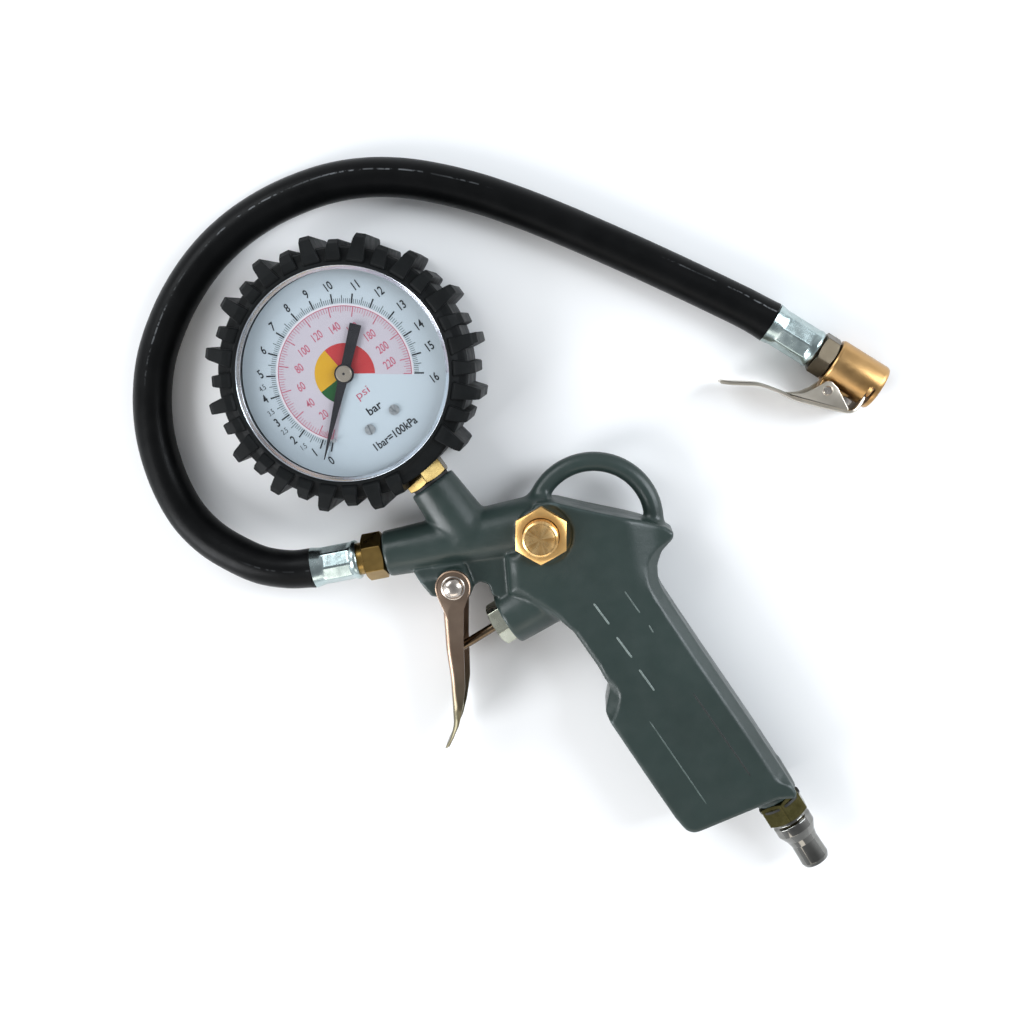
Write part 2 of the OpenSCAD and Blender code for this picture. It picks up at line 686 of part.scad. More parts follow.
module chuck_body() {
    color("goldenrod") difference() {
        union() {
            along(chuck_at, chuck_angle) {
                translate([0, 0, body_at]) cylinder(r = chuck_r - 0.7, h = 2);
                translate([0, 0, body_at + 1.4]) cylinder(r = chuck_r, h = chuck_len - 1.4 - 0.6);
                translate([0, 0, body_at + chuck_len - 0.6 - eps])
                    cylinder(r1 = chuck_r, r2 = chuck_r - 0.6, h = 0.6);
            }
            // lug for the lever's pin
            chuck_frame() translate([0, 0, -chuck_lug_half]) linear_extrude(2 * chuck_lug_half) {
                polygon([[body_at + 0.6, -5], [body_at + 0.6, -8], lever_pin - [2.2, 1.6],
                         lever_pin + [2.2, -1.6], [body_at + 12, -6.6], [body_at + 12, -5]]);
                translate(lever_pin) circle(r = 2.6);
            }
        }
        along(chuck_at, chuck_angle) {
            translate([0, 0, body_at - 1]) cylinder(r = thread_r, h = seal_u + seal_len - body_at + 1);
            translate([0, 0, body_at]) cylinder(r = mouth_r, h = chuck_len + 1);
            translate([0, 0, body_at + chuck_len - 0.6]) cylinder(r1 = mouth_r, r2 = mouth_r + 0.7, h = 0.7);
        }
        chuck_frame() {
            translate([lever_pin[0], lever_pin[1], -20]) cylinder(r = lever_pin_r + gap, h = 40);
            // slot for the jaw
            translate([jaw_u - 0.7, -12, -chuck_r - 1]) cube([2.1, 12.6, 2 * chuck_r + 2]);
        }
    }
}

module chuck_seal() {
    color("black") along(chuck_at, chuck_angle) translate([0, 0, seal_u])
        ring(thread_r - gap, 2.2, seal_len - gap);
}

module chuck_depressor() {
    color("goldenrod") along(chuck_at, chuck_angle) difference() {
        union() {
            translate([0, 0, seal_u - 0.9]) cylinder(r = thread_r - 0.1, h = 0.9 - gap);
            translate([0, 0, seal_u - 0.5]) cylinder(r = 1, h = seal_len);
        }
        for (i = [0:2]) rotate([0, 0, 120 * i]) translate([2.1, 0, seal_u - 2]) cylinder(r = 0.8, h = 1.9);
    }
}

// Side of the lever: triangular ear around its pin.
module lever_ear() {
    polygon([[25, -6.6], [26.2, -6.2], [29.2, -6.8], [33.6, -9.4], [36.4, -11.2], [36, -12],
             [20, -17.2], [20, -16.2], [22.4, -12]]);
}

module chuck_lever() {
    tab = [[20, -16.2], [14, -16.9], [7.7, -18.4], [20 - tab_len + 3, -23.2], [20 - tab_len, -24.8],
           [20 - tab_len, -25.9], [20 - tab_len + 3, -24.3], [7.7, -19.5], [14, -18], [20, -17.3]];
    jaw_v = -mouth_r - 0.35;
    web = [[20, -16.2], [35.2, -11.2], [jaw_u - 0.35, -chuck_r - 0.9], [jaw_u - 0.35, jaw_v],
           [jaw_u + 0.35, jaw_v], [jaw_u + 0.35, -chuck_r - 0.7], [36.3, -12.2], [20, -17.3]];
    color("silver") chuck_frame() difference() {
        union() {
            for (side = [-1, 1]) translate([0, 0, side * (lever_half - lever_t / 2) - lever_t / 2])
                linear_extrude(lever_t) lever_ear();
            translate([0, 0, -lever_half + lever_t / 2]) linear_extrude(2 * lever_half - lever_t) {
                polygon(web);
                polygon(tab);
            }
        }
        translate([lever_pin[0], lever_pin[1], -20]) cylinder(r = lever_pin_r + gap, h = 40);
    }
}

module chuck_lever_pin() {
    color("silver") chuck_frame() translate([lever_pin[0], lever_pin[1], 0]) {
        translate([0, 0, -lever_half - 0.4]) cylinder(r = lever_pin_r, h = 2 * lever_half + 0.8);
        for (side = [0, 1]) mirror([0, 0, side]) translate([0, 0, lever_half + gap])
            cylinder(r1 = lever_pin_r + 0.4, r2 = lever_pin_r, h = 0.5);
    }
}

module chuck_lever_spring() {
    color("dimgray") chuck_frame()
        translate([lever_pin[0], lever_pin[1], chuck_lug_half + gap])
            coil(lever_pin_r + 0.5, 0.5, lever_half - lever_t - chuck_lug_half - 2 * gap, 2);
}

// ---- gauge ----

module gauge_case() {
    color("black") difference() {
        translate([0, 0, case_z]) cylinder(r = case_r, h = case_depth);
        translate([0, 0, case_z + case_wall]) cylinder(r = case_in, h = case_depth);
        stem_frame(case_in - 3) cylinder(r = 6.6, h = 6);
    }
}

module gauge_socket() {
    color("goldenrod") difference() {
        union() {
            gauge_frame() translate([-block_r_in, -case_in + 1, axis_z - block_half])
                cube([2 * block_r_in, 15, 2 * block_half]);
            stem_frame(case_in - 2) cylinder(r = 6.5, h = stem_hex_start - case_in + 2 + eps);
            stem_frame(stem_hex_start) hexagon(stem_hex_af, stem_hex_h);
            stem_frame(stem_hex_start + stem_hex_h - eps)
                cylinder(r = stem_thread_r - gap, h = thread_depth - 0.6);
        }
        stem_frame(case_in - 10) cylinder(r = 1.5, h = 60);
        // seat of the Bourdon tube
        translate([0, 0, axis_z]) gauge_frame() rotate([0, 0, -112]) tube_solid(gap, 40);
    }
}

module gauge_seal() {
    color("black") stem_frame(stem_hex_start + stem_hex_h) ring(6.6, stem_thread_r, 0.8);
}

// Flattened tube bent round the gauge axis, from angle 0 to sweep.
module tube_solid(grow, sweep) {
    rotate_extrude(angle = sweep, $fn = 96) translate([tube_r, 0])
        square([3 + 2 * grow, 8 + 2 * grow], center = true);
}

tube_start = -104;
tube_end = -30 - 360;

module bourdon_tube() {
    color("peru") translate([0, 0, axis_z]) gauge_frame() rotate([0, 0, tube_end]) difference() {
        tube_solid(0, tube_start - tube_end);
        rotate([0, 0, 3]) rotate_extrude(angle = tube_start - tube_end, $fn = 96) translate([tube_r, 0])
            square([2.2, 7.2], center = true);
    }
}

module tube_tip() {
    end = tube_r * [cos(-30), sin(-30)];
    color("goldenrod") gauge_frame() difference() {
        union() {
            translate([0, 0, axis_z - 3]) linear_extrude(link_z - axis_z + 2.7)
                polygon([end + [-1.4, -0.9], end + [1.2, -2.3], [tip_x + 2.2, link_y - 1.6],
                         [tip_x - 1.8, link_y - 1.6], [tip_x - 1.4, link_y + 1.6]]);
            translate([tip_x, link_y, link_z - 1]) cylinder(r = link_pin_r, h = 1 + link_t + 0.6);
        }
        // the tube's end sits against the tip piece
        translate([0, 0, axis_z]) rotate([0, 0, tube_end]) tube_solid(gap, 60);
    }
}

// ---- movement ----

function tooth_fan(teeth, r, from, to) = [for (i = [from:to], k = [0:3])
    let (a = 360 / teeth * i, w = 90 / teeth,
         da = [-1.02 * w, -0.5 * w, 0.5 * w, 1.02 * w][k],
         rr = [r - 1.15 * gear_module, r + 0.85 * gear_module, r + 0.85 * gear_module,
               r - 1.15 * gear_module][k])
    rr * [cos(a + da), sin(a + da)]];

module sector_gear() {
    first = floor((90 - sector_sweep - 9) / (360 / sector_teeth));
    last = ceil((90 + 7) / (360 / sector_teeth));
    tail = link_arm * [sin(-sector_sweep / 2), -cos(sector_sweep / 2)];
    color("goldenrod") gauge_frame() translate([0, sector_y, sector_z]) difference() {
        union() {
            linear_extrude(sector_t) polygon(concat([[-1.6, 0]],
                [[1.6, 0]], tooth_fan(sector_teeth, sector_r, first, last)));
            cylinder(r = 2.4, h = sector_t);
            linear_extrude(sector_t) polygon([[2, 0], [-2, 0], tail + [-1.1, -0.6], tail + [1.1, -0.6]]);
            translate([tail[0], tail[1], 0]) cylinder(r = 1.2, h = sector_t);
            // arbor between the plates
            translate([0, 0, bottom_plate_z - sector_z + 0.2])
                cylinder(r = arbor_r, h = top_plate_z + plate_t - bottom_plate_z - 0.4);
        }
        // lightening window
        translate([0, 0, -1]) linear_extrude(sector_t + 2)
            polygon([for (a = [first * 6 + 8, last * 6 - 8]) 9.4 * [cos(a), sin(a)],
                     [0.9, 4], [2.2, 3.6]]);
        translate([tail[0], tail[1], -1]) cylinder(r = link_pin_r - 0.1, h = 4);
    }
}

module tube_link() {
    slot = 2 * link_arm * sin(sector_sweep / 2) + link_pin_r + 0.15;
    color("silver") gauge_frame() translate([0, 0, link_z]) difference() {
        union() {
            linear_extrude(link_t) polygon([[link_x, link_y - 1.1], [tip_x + 1.2, link_y - 1.1],
                [tip_x + 1.2, link_y + 1.6], [tip_x - slot - 1, link_y + 1.6],
                [tip_x - slot - 2, link_y + 1.1], [link_x, link_y + 1.1]]);
            translate([link_x, link_y, 0]) cylinder(r = 1.1, h = link_t);
            // pin through the sector's tail
            translate([link_x, link_y, -sector_t - 0.2])
                cylinder(r = link_pin_r - 0.1 - gap, h = sector_t + 0.3);
        }
        // long slot: the tube's tip stays put while the link moves
        translate([tip_x - slot, link_y - 1 + 0.3, -1]) cube([slot + 0.75, 1.7, 3]);
    }
}

module pinion() {
    color("silver") gauge_frame() {
        translate([0, 0, sector_z - 0.2]) rotate([0, 0, -90 + 180 / pinion_teeth])
            linear_extrude(sector_t + 0.4) polygon(tooth_fan(pinion_teeth, pinion_r, 0, pinion_teeth - 1));
        translate([0, 0, bottom_plate_z + 0.2])
            cylinder(r = arbor_r, h = needle_z + needle_t - bottom_plate_z - 0.2);
    }
}

module plate_outline() {
    polygon([[-10.5, 4.5], [10.5, 4.5], [11.5, -2], [8.8, -24.5], [-8.8, -24.5], [-11.5, -2]]);
}

pillar_at = [[-9.4, 2.6], [9.4, 2.6], [-6.8, -23], [6.8, -23]];

module plate_holes() {
    cut = plate_t + 2;
    for (p = pillar_at) translate([p[0], p[1], -1]) cylinder(r = 0.8, h = cut);
    translate([0, 0, -1]) cylinder(r = arbor_r + gap, h = cut);
    translate([0, sector_y, -1]) cylinder(r = arbor_r + gap, h = cut);
}

module movement_bottom_plate() {
    color("goldenrod") gauge_frame() translate([0, 0, bottom_plate_z]) difference() {
        linear_extrude(plate_t) plate_outline();
        plate_holes();
    }
}

module movement_top_plate() {
    color("goldenrod") gauge_frame() translate([0, 0, top_plate_z]) {
        difference() {
            linear_extrude(plate_t) plate_outline();
            plate_holes();
            for (a = screw_angles) rotate([0, 0, a - gauge_turn]) translate([screw_radius, 0, -1])
                cylinder(r = 0.75, h = 5);
        }
        // posts that carry the dial
        for (a = screw_angles) rotate([0, 0, a - gauge_turn]) translate([screw_radius, 0, plate_t])
            ring(1.7, 0.75, dial_post);
    }
}

module movement_pillars() {
    color("goldenrod") gauge_frame() for (p = pillar_at) translate([p[0], p[1], bottom_plate_z]) {
        cylinder(r = 0.8 - gap, h = top_plate_z + plate_t - bottom_plate_z);
        translate([0, 0, plate_t]) cylinder(r = 1.3, h = top_plate_z - bottom_plate_z - plate_t);
        translate([0, 0, top_plate_z + plate_t - bottom_plate_z]) cylinder(r = 1.5, h = 0.6);
    }
}

module hairspring() {
    turns = 3.5;
    inner = 1.3;
    outer = 5.2;
    wire = 0.15;
    steps = 70;
    function arm(i, side) = let (a = 360 * turns * i / steps, r = inner + (outer - inner) * i / steps + side)
        [r * cos(a), r * sin(a)];
    color("peru") gauge_frame() translate([0, 0, link_z + 0.8]) {
        linear_extrude(0.6) polygon(concat([for (i = [0:steps]) arm(i, 0)],
            [for (i = [steps:-1:0]) arm(i, wire)]));
        // stud that holds the outer end to the top plate
        translate([-outer - 0.3, 0, 0]) cylinder(r = 0.5, h = top_plate_z - link_z - 0.8);
    }
}

module dial() {
    color("white") translate([0, 0, dial_z]) difference() {
        cylinder(r = dial_r, h = dial_t);
        translate([0, 0, -1]) cylinder(r = arbor_r + 0.6, h = 3);
        for (a = screw_angles) rotate([0, 0, a]) translate([screw_radius, 0, -1]) cylinder(r = 0.8, h = 3);
        rotate([0, 0, needle_rest + 4.6]) translate([stop_pin_r, 0, -1]) cylinder(r = stop_pin_w, h = 3);
    }
}

module dial_screws() {
    color("silver") for (a = screw_angles) rotate([0, 0, a]) translate([screw_radius, 0, 0]) {
        translate([0, 0, top_plate_z]) cylinder(r = 0.7, h = dial_z + dial_t - top_plate_z + 0.1);
        translate([0, 0, dial_z + dial_t]) difference() {
            cylinder(r = 1.7, h = 0.6);
            translate([-2, -0.2, 0.3]) cube([4, 0.4, 1]);
        }
    }
}

module stop_pin() {
    color("silver") rotate([0, 0, needle_rest + 4.6]) translate([stop_pin_r, 0, dial_z])
        cylinder(r = stop_pin_w, h = needle_z + needle_t + 0.5 - dial_z);
}

module needle() {
    tail = 16.3;
    color("black") rotate([0, 0, needle_rest]) translate([0, 0, needle_z]) difference() {
        union() {
            linear_extrude(needle_t) polygon([[-tail, -1.9], [-tail, 1.9], [-2, 1.5], [3, 1.5],
                [needle_tip, 0.15], [needle_tip, -0.15], [3, -1.5], [-2, -1.5]]);
            cylinder(r = 3.2, h = needle_t);
        }
        translate([0, 0, -1]) cylinder(r = arbor_r + gap, h = 3);
    }
}

module needle_cap() {
    color("silver") translate([0, 0, needle_z + needle_t]) {
        cylinder(r = 2.6, h = 0.7);
        translate([0, 0, 0.7 - eps]) cylinder(r1 = 2.6, r2 = 2.2, h = 0.3);
    }
}

module lens() {
    color("lightblue", 0.4) translate([0, 0, lens_z]) cylinder(r = lens_r, h = lens_t);
}

module lens_gasket() {
    color("dimgray") translate([0, 0, case_front]) ring(lens_r, case_in - 0.3, gasket_t);
}

module bezel() {
    color("silver") difference() {
        translate([0, 0, case_front - 6]) cylinder(r = bezel_r, h = bezel_front - case_front + 6);
        translate([0, 0, case_front - 7])
            cylinder(r = bezel_r - bezel_t, h = bezel_front - bezel_t - case_front + 7);
        cylinder(r = bezel_r - bezel_lip, h = 90);
    }
}

// ---- boot ----

module boot_blocks() {
    step = 360 / block_count;
    for (i = [stem_blocks:block_count - 1]) {
        proud = i % 2 == 0 ? tall_block : short_block;
        reach = boot_r + proud;
        rotate([0, 0, stem_angle + 1.5 + step * i]) difference() {
            translate([boot_in - 0.7, -block_w / 2, 0]) translate([0, 0, boot_back])
                cube([reach - boot_in + 0.7, block_w, boot_front - boot_back]);
            translate([reach - 1.2, -5, boot_front - 1.2]) rotate([0, 45, 0]) translate([-1, 0, 0])
                cube([6, 10, 6]);
        }
    }
}

module boot() {
    color("dimgray") difference() {
        union() {
            cylinder(r1 = boot_r - 1, r2 = boot_r, h = 1);
            translate([0, 0, 1 - eps]) cylinder(r = boot_r, h = boot_front - 2 + eps);
            boot_blocks();
        }
        translate([0, 0, boot_back]) cylinder(r = case_r + gap, h = case_front - 6 - boot_back);
        translate([0, 0, case_front - 6.2]) cylinder(r = boot_in, h = bezel_front - case_front + 6.2 + gap);
        translate([0, 0, boot_back + 1]) cylinder(r = boot_in - boot_lip, h = boot_front);
        // way out for the stem
        stem_frame(case_in) cylinder(r = stem_hex_af * 0.62, h = 30);
    }
}

gun_body();
inlet_plug();
inlet_seal();
gland_nut();
rod_seal();
valve_sleeve();
valve_rod();
valve_poppet_seal();
valve_spring();
bleed_nut();
bleed_button();
bleed_poppet();
bleed_seal();
bleed_spring();
trigger_lever();
trigger_rivet();
hose_fitting();
gun_ferrule();
hose();
chuck_ferrule();
chuck_adapter();
chuck_body();
chuck_seal();
chuck_depressor();
chuck_lever();
chuck_lever_pin();
chuck_lever_spring();
gauge_case();
gauge_socket();
gauge_seal();
bourdon_tube();
tube_tip();
tube_link();
sector_gear();
pinion();
movement_bottom_plate();
movement_top_plate();
movement_pillars();
hairspring();
dial();
dial_screws();
stop_pin();
needle();
needle_cap();
lens();
lens_gasket();
bezel();
boot();
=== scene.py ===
import json
import math
from contextlib import contextmanager

import bmesh
import bpy
import numpy as np
from mathutils import Matrix, Vector

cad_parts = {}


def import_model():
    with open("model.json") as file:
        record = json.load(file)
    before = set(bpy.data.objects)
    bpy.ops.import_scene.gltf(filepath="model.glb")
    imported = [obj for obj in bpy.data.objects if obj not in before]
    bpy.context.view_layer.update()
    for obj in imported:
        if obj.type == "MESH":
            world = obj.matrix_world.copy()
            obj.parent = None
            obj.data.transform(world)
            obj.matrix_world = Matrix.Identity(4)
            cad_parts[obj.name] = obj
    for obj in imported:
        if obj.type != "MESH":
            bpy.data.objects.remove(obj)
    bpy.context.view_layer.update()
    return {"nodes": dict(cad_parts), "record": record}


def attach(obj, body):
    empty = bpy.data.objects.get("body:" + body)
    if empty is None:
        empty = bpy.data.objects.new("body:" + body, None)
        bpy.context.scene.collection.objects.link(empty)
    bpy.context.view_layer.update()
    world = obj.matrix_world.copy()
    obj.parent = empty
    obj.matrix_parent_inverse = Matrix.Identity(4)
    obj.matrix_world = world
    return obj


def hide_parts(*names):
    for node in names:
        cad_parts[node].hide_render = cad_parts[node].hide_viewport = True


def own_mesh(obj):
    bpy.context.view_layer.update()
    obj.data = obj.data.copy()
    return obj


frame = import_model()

MM = 0.001

# Sizes in millimetres, as in the solids
AXIS_Z = 13.5
BARREL_Y = -61.7
BARREL_X = -1.6
STEM = math.radians(-66)
NECK_FROM = 45.2        # along the stem, from the gauge's centre
GRIP = math.radians(-69)
VALVE = math.radians(21)
CHUCK = math.radians(-43)
PIVOT = (19.5, -75.7)
BOSS = (34.0, -91.1)
FERRULE_X = -11.0
GUN_FERRULE = 15.6
CHUCK_FERRULE = 17.0
CHUCK_AT = (138.2, -11.5, 8.0)
BLEED = (51.5, -63.9)
BLEED_TOP = 23.5        # the face that the bleed valve's nut lies on
DIAL_TOP = 27.1
SPRING_END = 51.0       # along the valve's axis
CROSS = 44.6            # along the valve's axis too, where the handle's axis meets it
VALVE_CROSS = (BOSS[0] + CROSS * math.cos(VALVE), BOSS[1] + CROSS * math.sin(VALVE))
FOOT_FROM = 101.5       # along the handle, where the plug's hexagon sits

HOSE = [(-26.7, -61.7, 13.5), (-35, -60.7, 13.3), (-44.2, -57.6, 12.6), (-52.6, -52.2, 11.3),
        (-60.3, -45.5, 9.7), (-66.4, -37, 8.1), (-70.1, -27, 7), (-71.8, -16.5, 6.6),
        (-71.8, -5.7, 6.6), (-69.8, 5.7, 6.6), (-65.7, 17.2, 6.6), (-59.2, 28, 6.6),
        (-50.9, 38, 6.6), (-41, 46.7, 6.6), (-29.8, 53.5, 6.6), (-17.5, 58.3, 6.6),
        (-5, 61.1, 6.6), (6.8, 62.1, 6.6), (18.4, 61.2, 6.6), (29.6, 58.6, 6.6),
        (41, 54.3, 6.6), (52.8, 48.6, 6.6), (64.8, 41.6, 6.6), (76.7, 33.9, 6.6),
        (88.5, 25.8, 6.6), (100.5, 17.3, 6.7), (112.7, 8.4, 6.9), (125, -0.8, 7.4),
        (132, -6.2, 7.8), (138.1, -11.4, 8)]
HOSE_R = 6.5


def add(name, data):
    made = bpy.data.objects.new(name, data)
    bpy.context.scene.collection.objects.link(made)
    return made


# ---- camera ----

FRAME = 1024            # pixels across
FOCAL = 1400            # the lens's length in pixels


def place_camera():
    """The photo's view, from the camera's three axes and its place in millimetres."""
    data = bpy.data.cameras.new("camera")
    data.sensor_width = 36
    data.lens = 36 * FOCAL / FRAME
    data.clip_start = 0.01
    data.clip_end = 20
    camera = add("camera", data)
    right = (0.978407, -0.199059, -0.055628)
    up = (0.190130, 0.972370, -0.135454)
    back = (0.081054, 0.121953, 0.989221)
    place = Vector((80.5808, 0.9476, 475.1363)) * MM
    camera.matrix_world = Matrix([*zip(right, up, back, place), (0, 0, 0, 1)])
    bpy.context.scene.camera = camera


place_camera()


# ---- materials ----

def link(tree, a, b):
    tree.links.new(a, b)


def node(tree, kind, **values):
    made = tree.nodes.new(kind)
    for key, value in values.items():
        if key in made.inputs:
            made.inputs[key].default_value = value
        else:
            setattr(made, key, value)
    return made


def feed(tree, socket, value):
    """Links an output to an input, or sets the input to a plain value."""
    if isinstance(value, bpy.types.NodeSocket):
        link(tree, value, socket)
    else:
        socket.default_value = value


def maths(tree, operation, *values):
    made = node(tree, "ShaderNodeMath", operation=operation)
    for socket, value in zip(made.inputs, values):
        feed(tree, socket, value)
    return made.outputs[0]


def ranged(tree, value, low, high, to_low=0.0, to_high=1.0):
    made = node(tree, "ShaderNodeMapRange")
    for key, number in zip(("From Min", "From Max", "To Min", "To Max"), (low, high, to_low, to_high)):
        made.inputs[key].default_value = number
    link(tree, value, made.inputs["Value"])
    return made.outputs["Result"]


def mixed(tree, factor, first, second):
    """Mix of two colours, each a socket or three numbers."""
    mix = node(tree, "ShaderNodeMix", data_type="RGBA")
    link(tree, factor, mix.inputs[0])
    for socket, colour in ((mix.inputs[6], first), (mix.inputs[7], second)):
        feed(tree, socket, (*colour, 1) if isinstance(colour, tuple) else colour)
    return mix.outputs[2]


def split(tree, vector):
    made = node(tree, "ShaderNodeSeparateXYZ")
    link(tree, vector, made.inputs["Vector"])
    return made.outputs


def coordinates(tree):
    return node(tree, "ShaderNodeTexCoord").outputs["Object"]


def noise(tree, scale, detail, rough):
    made = node(tree, "ShaderNodeTexNoise", Scale=scale, Detail=detail, Roughness=rough)
    link(tree, coordinates(tree), made.inputs["Vector"])
    return made.outputs["Fac"]


def mottled(tree, scale, low, high, detail=4.0, span=(0.3, 0.7)):
    """A number that wanders from low to high over the surface."""
    return ranged(tree, noise(tree, scale, detail, 0.6), *span, low, high)


def bumped(tree, shader, layers):
    """Stacks bump layers of (scale, detail, height in metres)."""
    before = None
    for scale, detail, height in layers:
        bump = node(tree, "ShaderNodeBump", Strength=1.0, Distance=height)
        link(tree, noise(tree, scale, detail, 0.55), bump.inputs["Height"])
        if before:
            link(tree, before, bump.inputs["Normal"])
        before = bump.outputs["Normal"]
    if before:
        link(tree, before, shader.inputs["Normal"])


def blank(name, seen):
    """A new material, its node tree and its shader."""
    made = bpy.data.materials.new(name)
    made.use_nodes = True
    made.diffuse_color = seen
    return made, made.node_tree, made.node_tree.nodes["Principled BSDF"]


def finish(name, first, second, rough, layers, metallic=0.0, scale=60.0, rough_scale=140.0, specular=0.5):
    """A surface whose colour wanders between two tones and whose roughness wanders too."""
    made, tree, shader = blank(name, (*first, 1))
    shader.inputs["Metallic"].default_value = metallic
    shader.inputs["Specular IOR Level"].default_value = specular
    link(tree, mixed(tree, mottled(tree, scale, 0.0, 1.0), first, second), shader.inputs["Base Color"])
    link(tree, mottled(tree, rough_scale, *rough, 6.0), shader.inputs["Roughness"])
    bumped(tree, shader, layers)
    return made


def recoloured(made, share, colour):
    """Lays a colour over a finish, by a share that may differ from place to place."""
    tree = made.node_tree
    base = tree.nodes["Principled BSDF"].inputs["Base Color"]
    link(tree, mixed(tree, share, base.links[0].from_socket, colour), base)
    return made


def worn(made, colour, low, high):
    """Lightens the raised edges of a surface: partly wear from handling, partly a painted highlight where
    edges catch the light.
    """
    tree = made.node_tree
    edge = ranged(tree, node(tree, "ShaderNodeNewGeometry").outputs["Pointiness"], low, high)
    broken = mottled(tree, 300.0, 0.25, 1.0, 3.0, (0.35, 0.6))
    return recoloured(made, maths(tree, "MULTIPLY", edge, broken), colour)


def graded(made, colour, start, end):
    """Turns the colour of a surface into another one between two places on the Y axis."""
    tree = made.node_tree
    return recoloured(made, ranged(tree, split(tree, coordinates(tree))["Y"], start, end), colour)


STREAK_AT = 0.255       # share of the way round the hose
STREAK_HALF = 0.006     # half its width, as a share too
STREAK_DRIFT = -0.029   # for each 100 mm along the hose


def hose_finish():
    """Black rubber with a broken pale streak along its outside."""
    made = finish("hose_rubber", (0.0022, 0.0024, 0.0026), (0.0042, 0.0044, 0.0046), (0.28, 0.42),
                  [(900, 3, 0.00002), (120, 2, 0.00006)], scale=45, specular=0.10)
    tree = made.node_tree
    run = split(tree, node(tree, "ShaderNodeUVMap", uv_map="run").outputs["UV"])
    drift = maths(tree, "MULTIPLY_ADD", run["X"], STREAK_DRIFT, run["Y"])
    place = maths(tree, "MULTIPLY_ADD", noise(tree, 60.0, 3.0, 0.5), 0.025, drift)
    near = maths(tree, "COMPARE", place, STREAK_AT, STREAK_HALF)
    broken = mottled(tree, 420.0, 0.0, 1.0, 2.0, (0.46, 0.56))
    patch = mottled(tree, 22.0, 0.0, 1.0, 2.0, (0.44, 0.60))
    shown = maths(tree, "MULTIPLY", near, maths(tree, "MULTIPLY", broken, patch))
    return recoloured(made, shown, (0.10, 0.105, 0.11))


def turned_brass(centre):
    """Brass whose colour changes in fine lines and broad sectors round its centre: a painted reflection of
    the bright and dark sectors that a face turned in a lathe shows.
    """
    made = finish("brass_turned_sheen", (0.74, 0.43, 0.15), (0.84, 0.53, 0.21), (0.22, 0.36), FINE, 1.0, 90, 500)
    tree = made.node_tree
    at = split(tree, coordinates(tree))
    turn = maths(tree, "ARCTAN2", maths(tree, "SUBTRACT", at["Y"], centre[1] * MM),
                 maths(tree, "SUBTRACT", at["X"], centre[0] * MM))
    # colour by the angle round the centre: painted reflection
    lines = node(tree, "ShaderNodeTexNoise", noise_dimensions="1D", Scale=1.6, Detail=8.0, Roughness=0.62)
    link(tree, turn, lines.inputs["W"])
    spread = ranged(tree, lines.outputs["Fac"], 0.34, 0.68)
    link(tree, mixed(tree, spread, (0.62, 0.33, 0.10), (0.98, 0.68, 0.32)),
         tree.nodes["Principled BSDF"].inputs["Base Color"])
    return made


def window_finish():
    made, tree, shader = blank("clear", (0.9, 0.95, 1, 0.1))
    shader.inputs["Base Color"].default_value = (0.03, 0.04, 0.05, 1)
    shader.inputs["Alpha"].default_value = 0.10
    shader.inputs["Specular IOR Level"].default_value = 1.0
    link(tree, mottled(tree, 60.0, 0.02, 0.05), shader.inputs["Roughness"])
    return made


CAST = [(2600, 3, 0.000020), (420, 3, 0.000055), (70, 2, 0.00012)]
MOULDED = [(1400, 4, 0.00004), (210, 3, 0.00010)]
FINE = [(1500, 3, 0.000010), (160, 2, 0.00003)]
PLATED = [(1200, 3, 0.000012), (240, 2, 0.00006)]
ROLLED = [(900, 3, 0.000012), (110, 2, 0.00003)]
POLISHED = [(130, 2, 0.00002)]

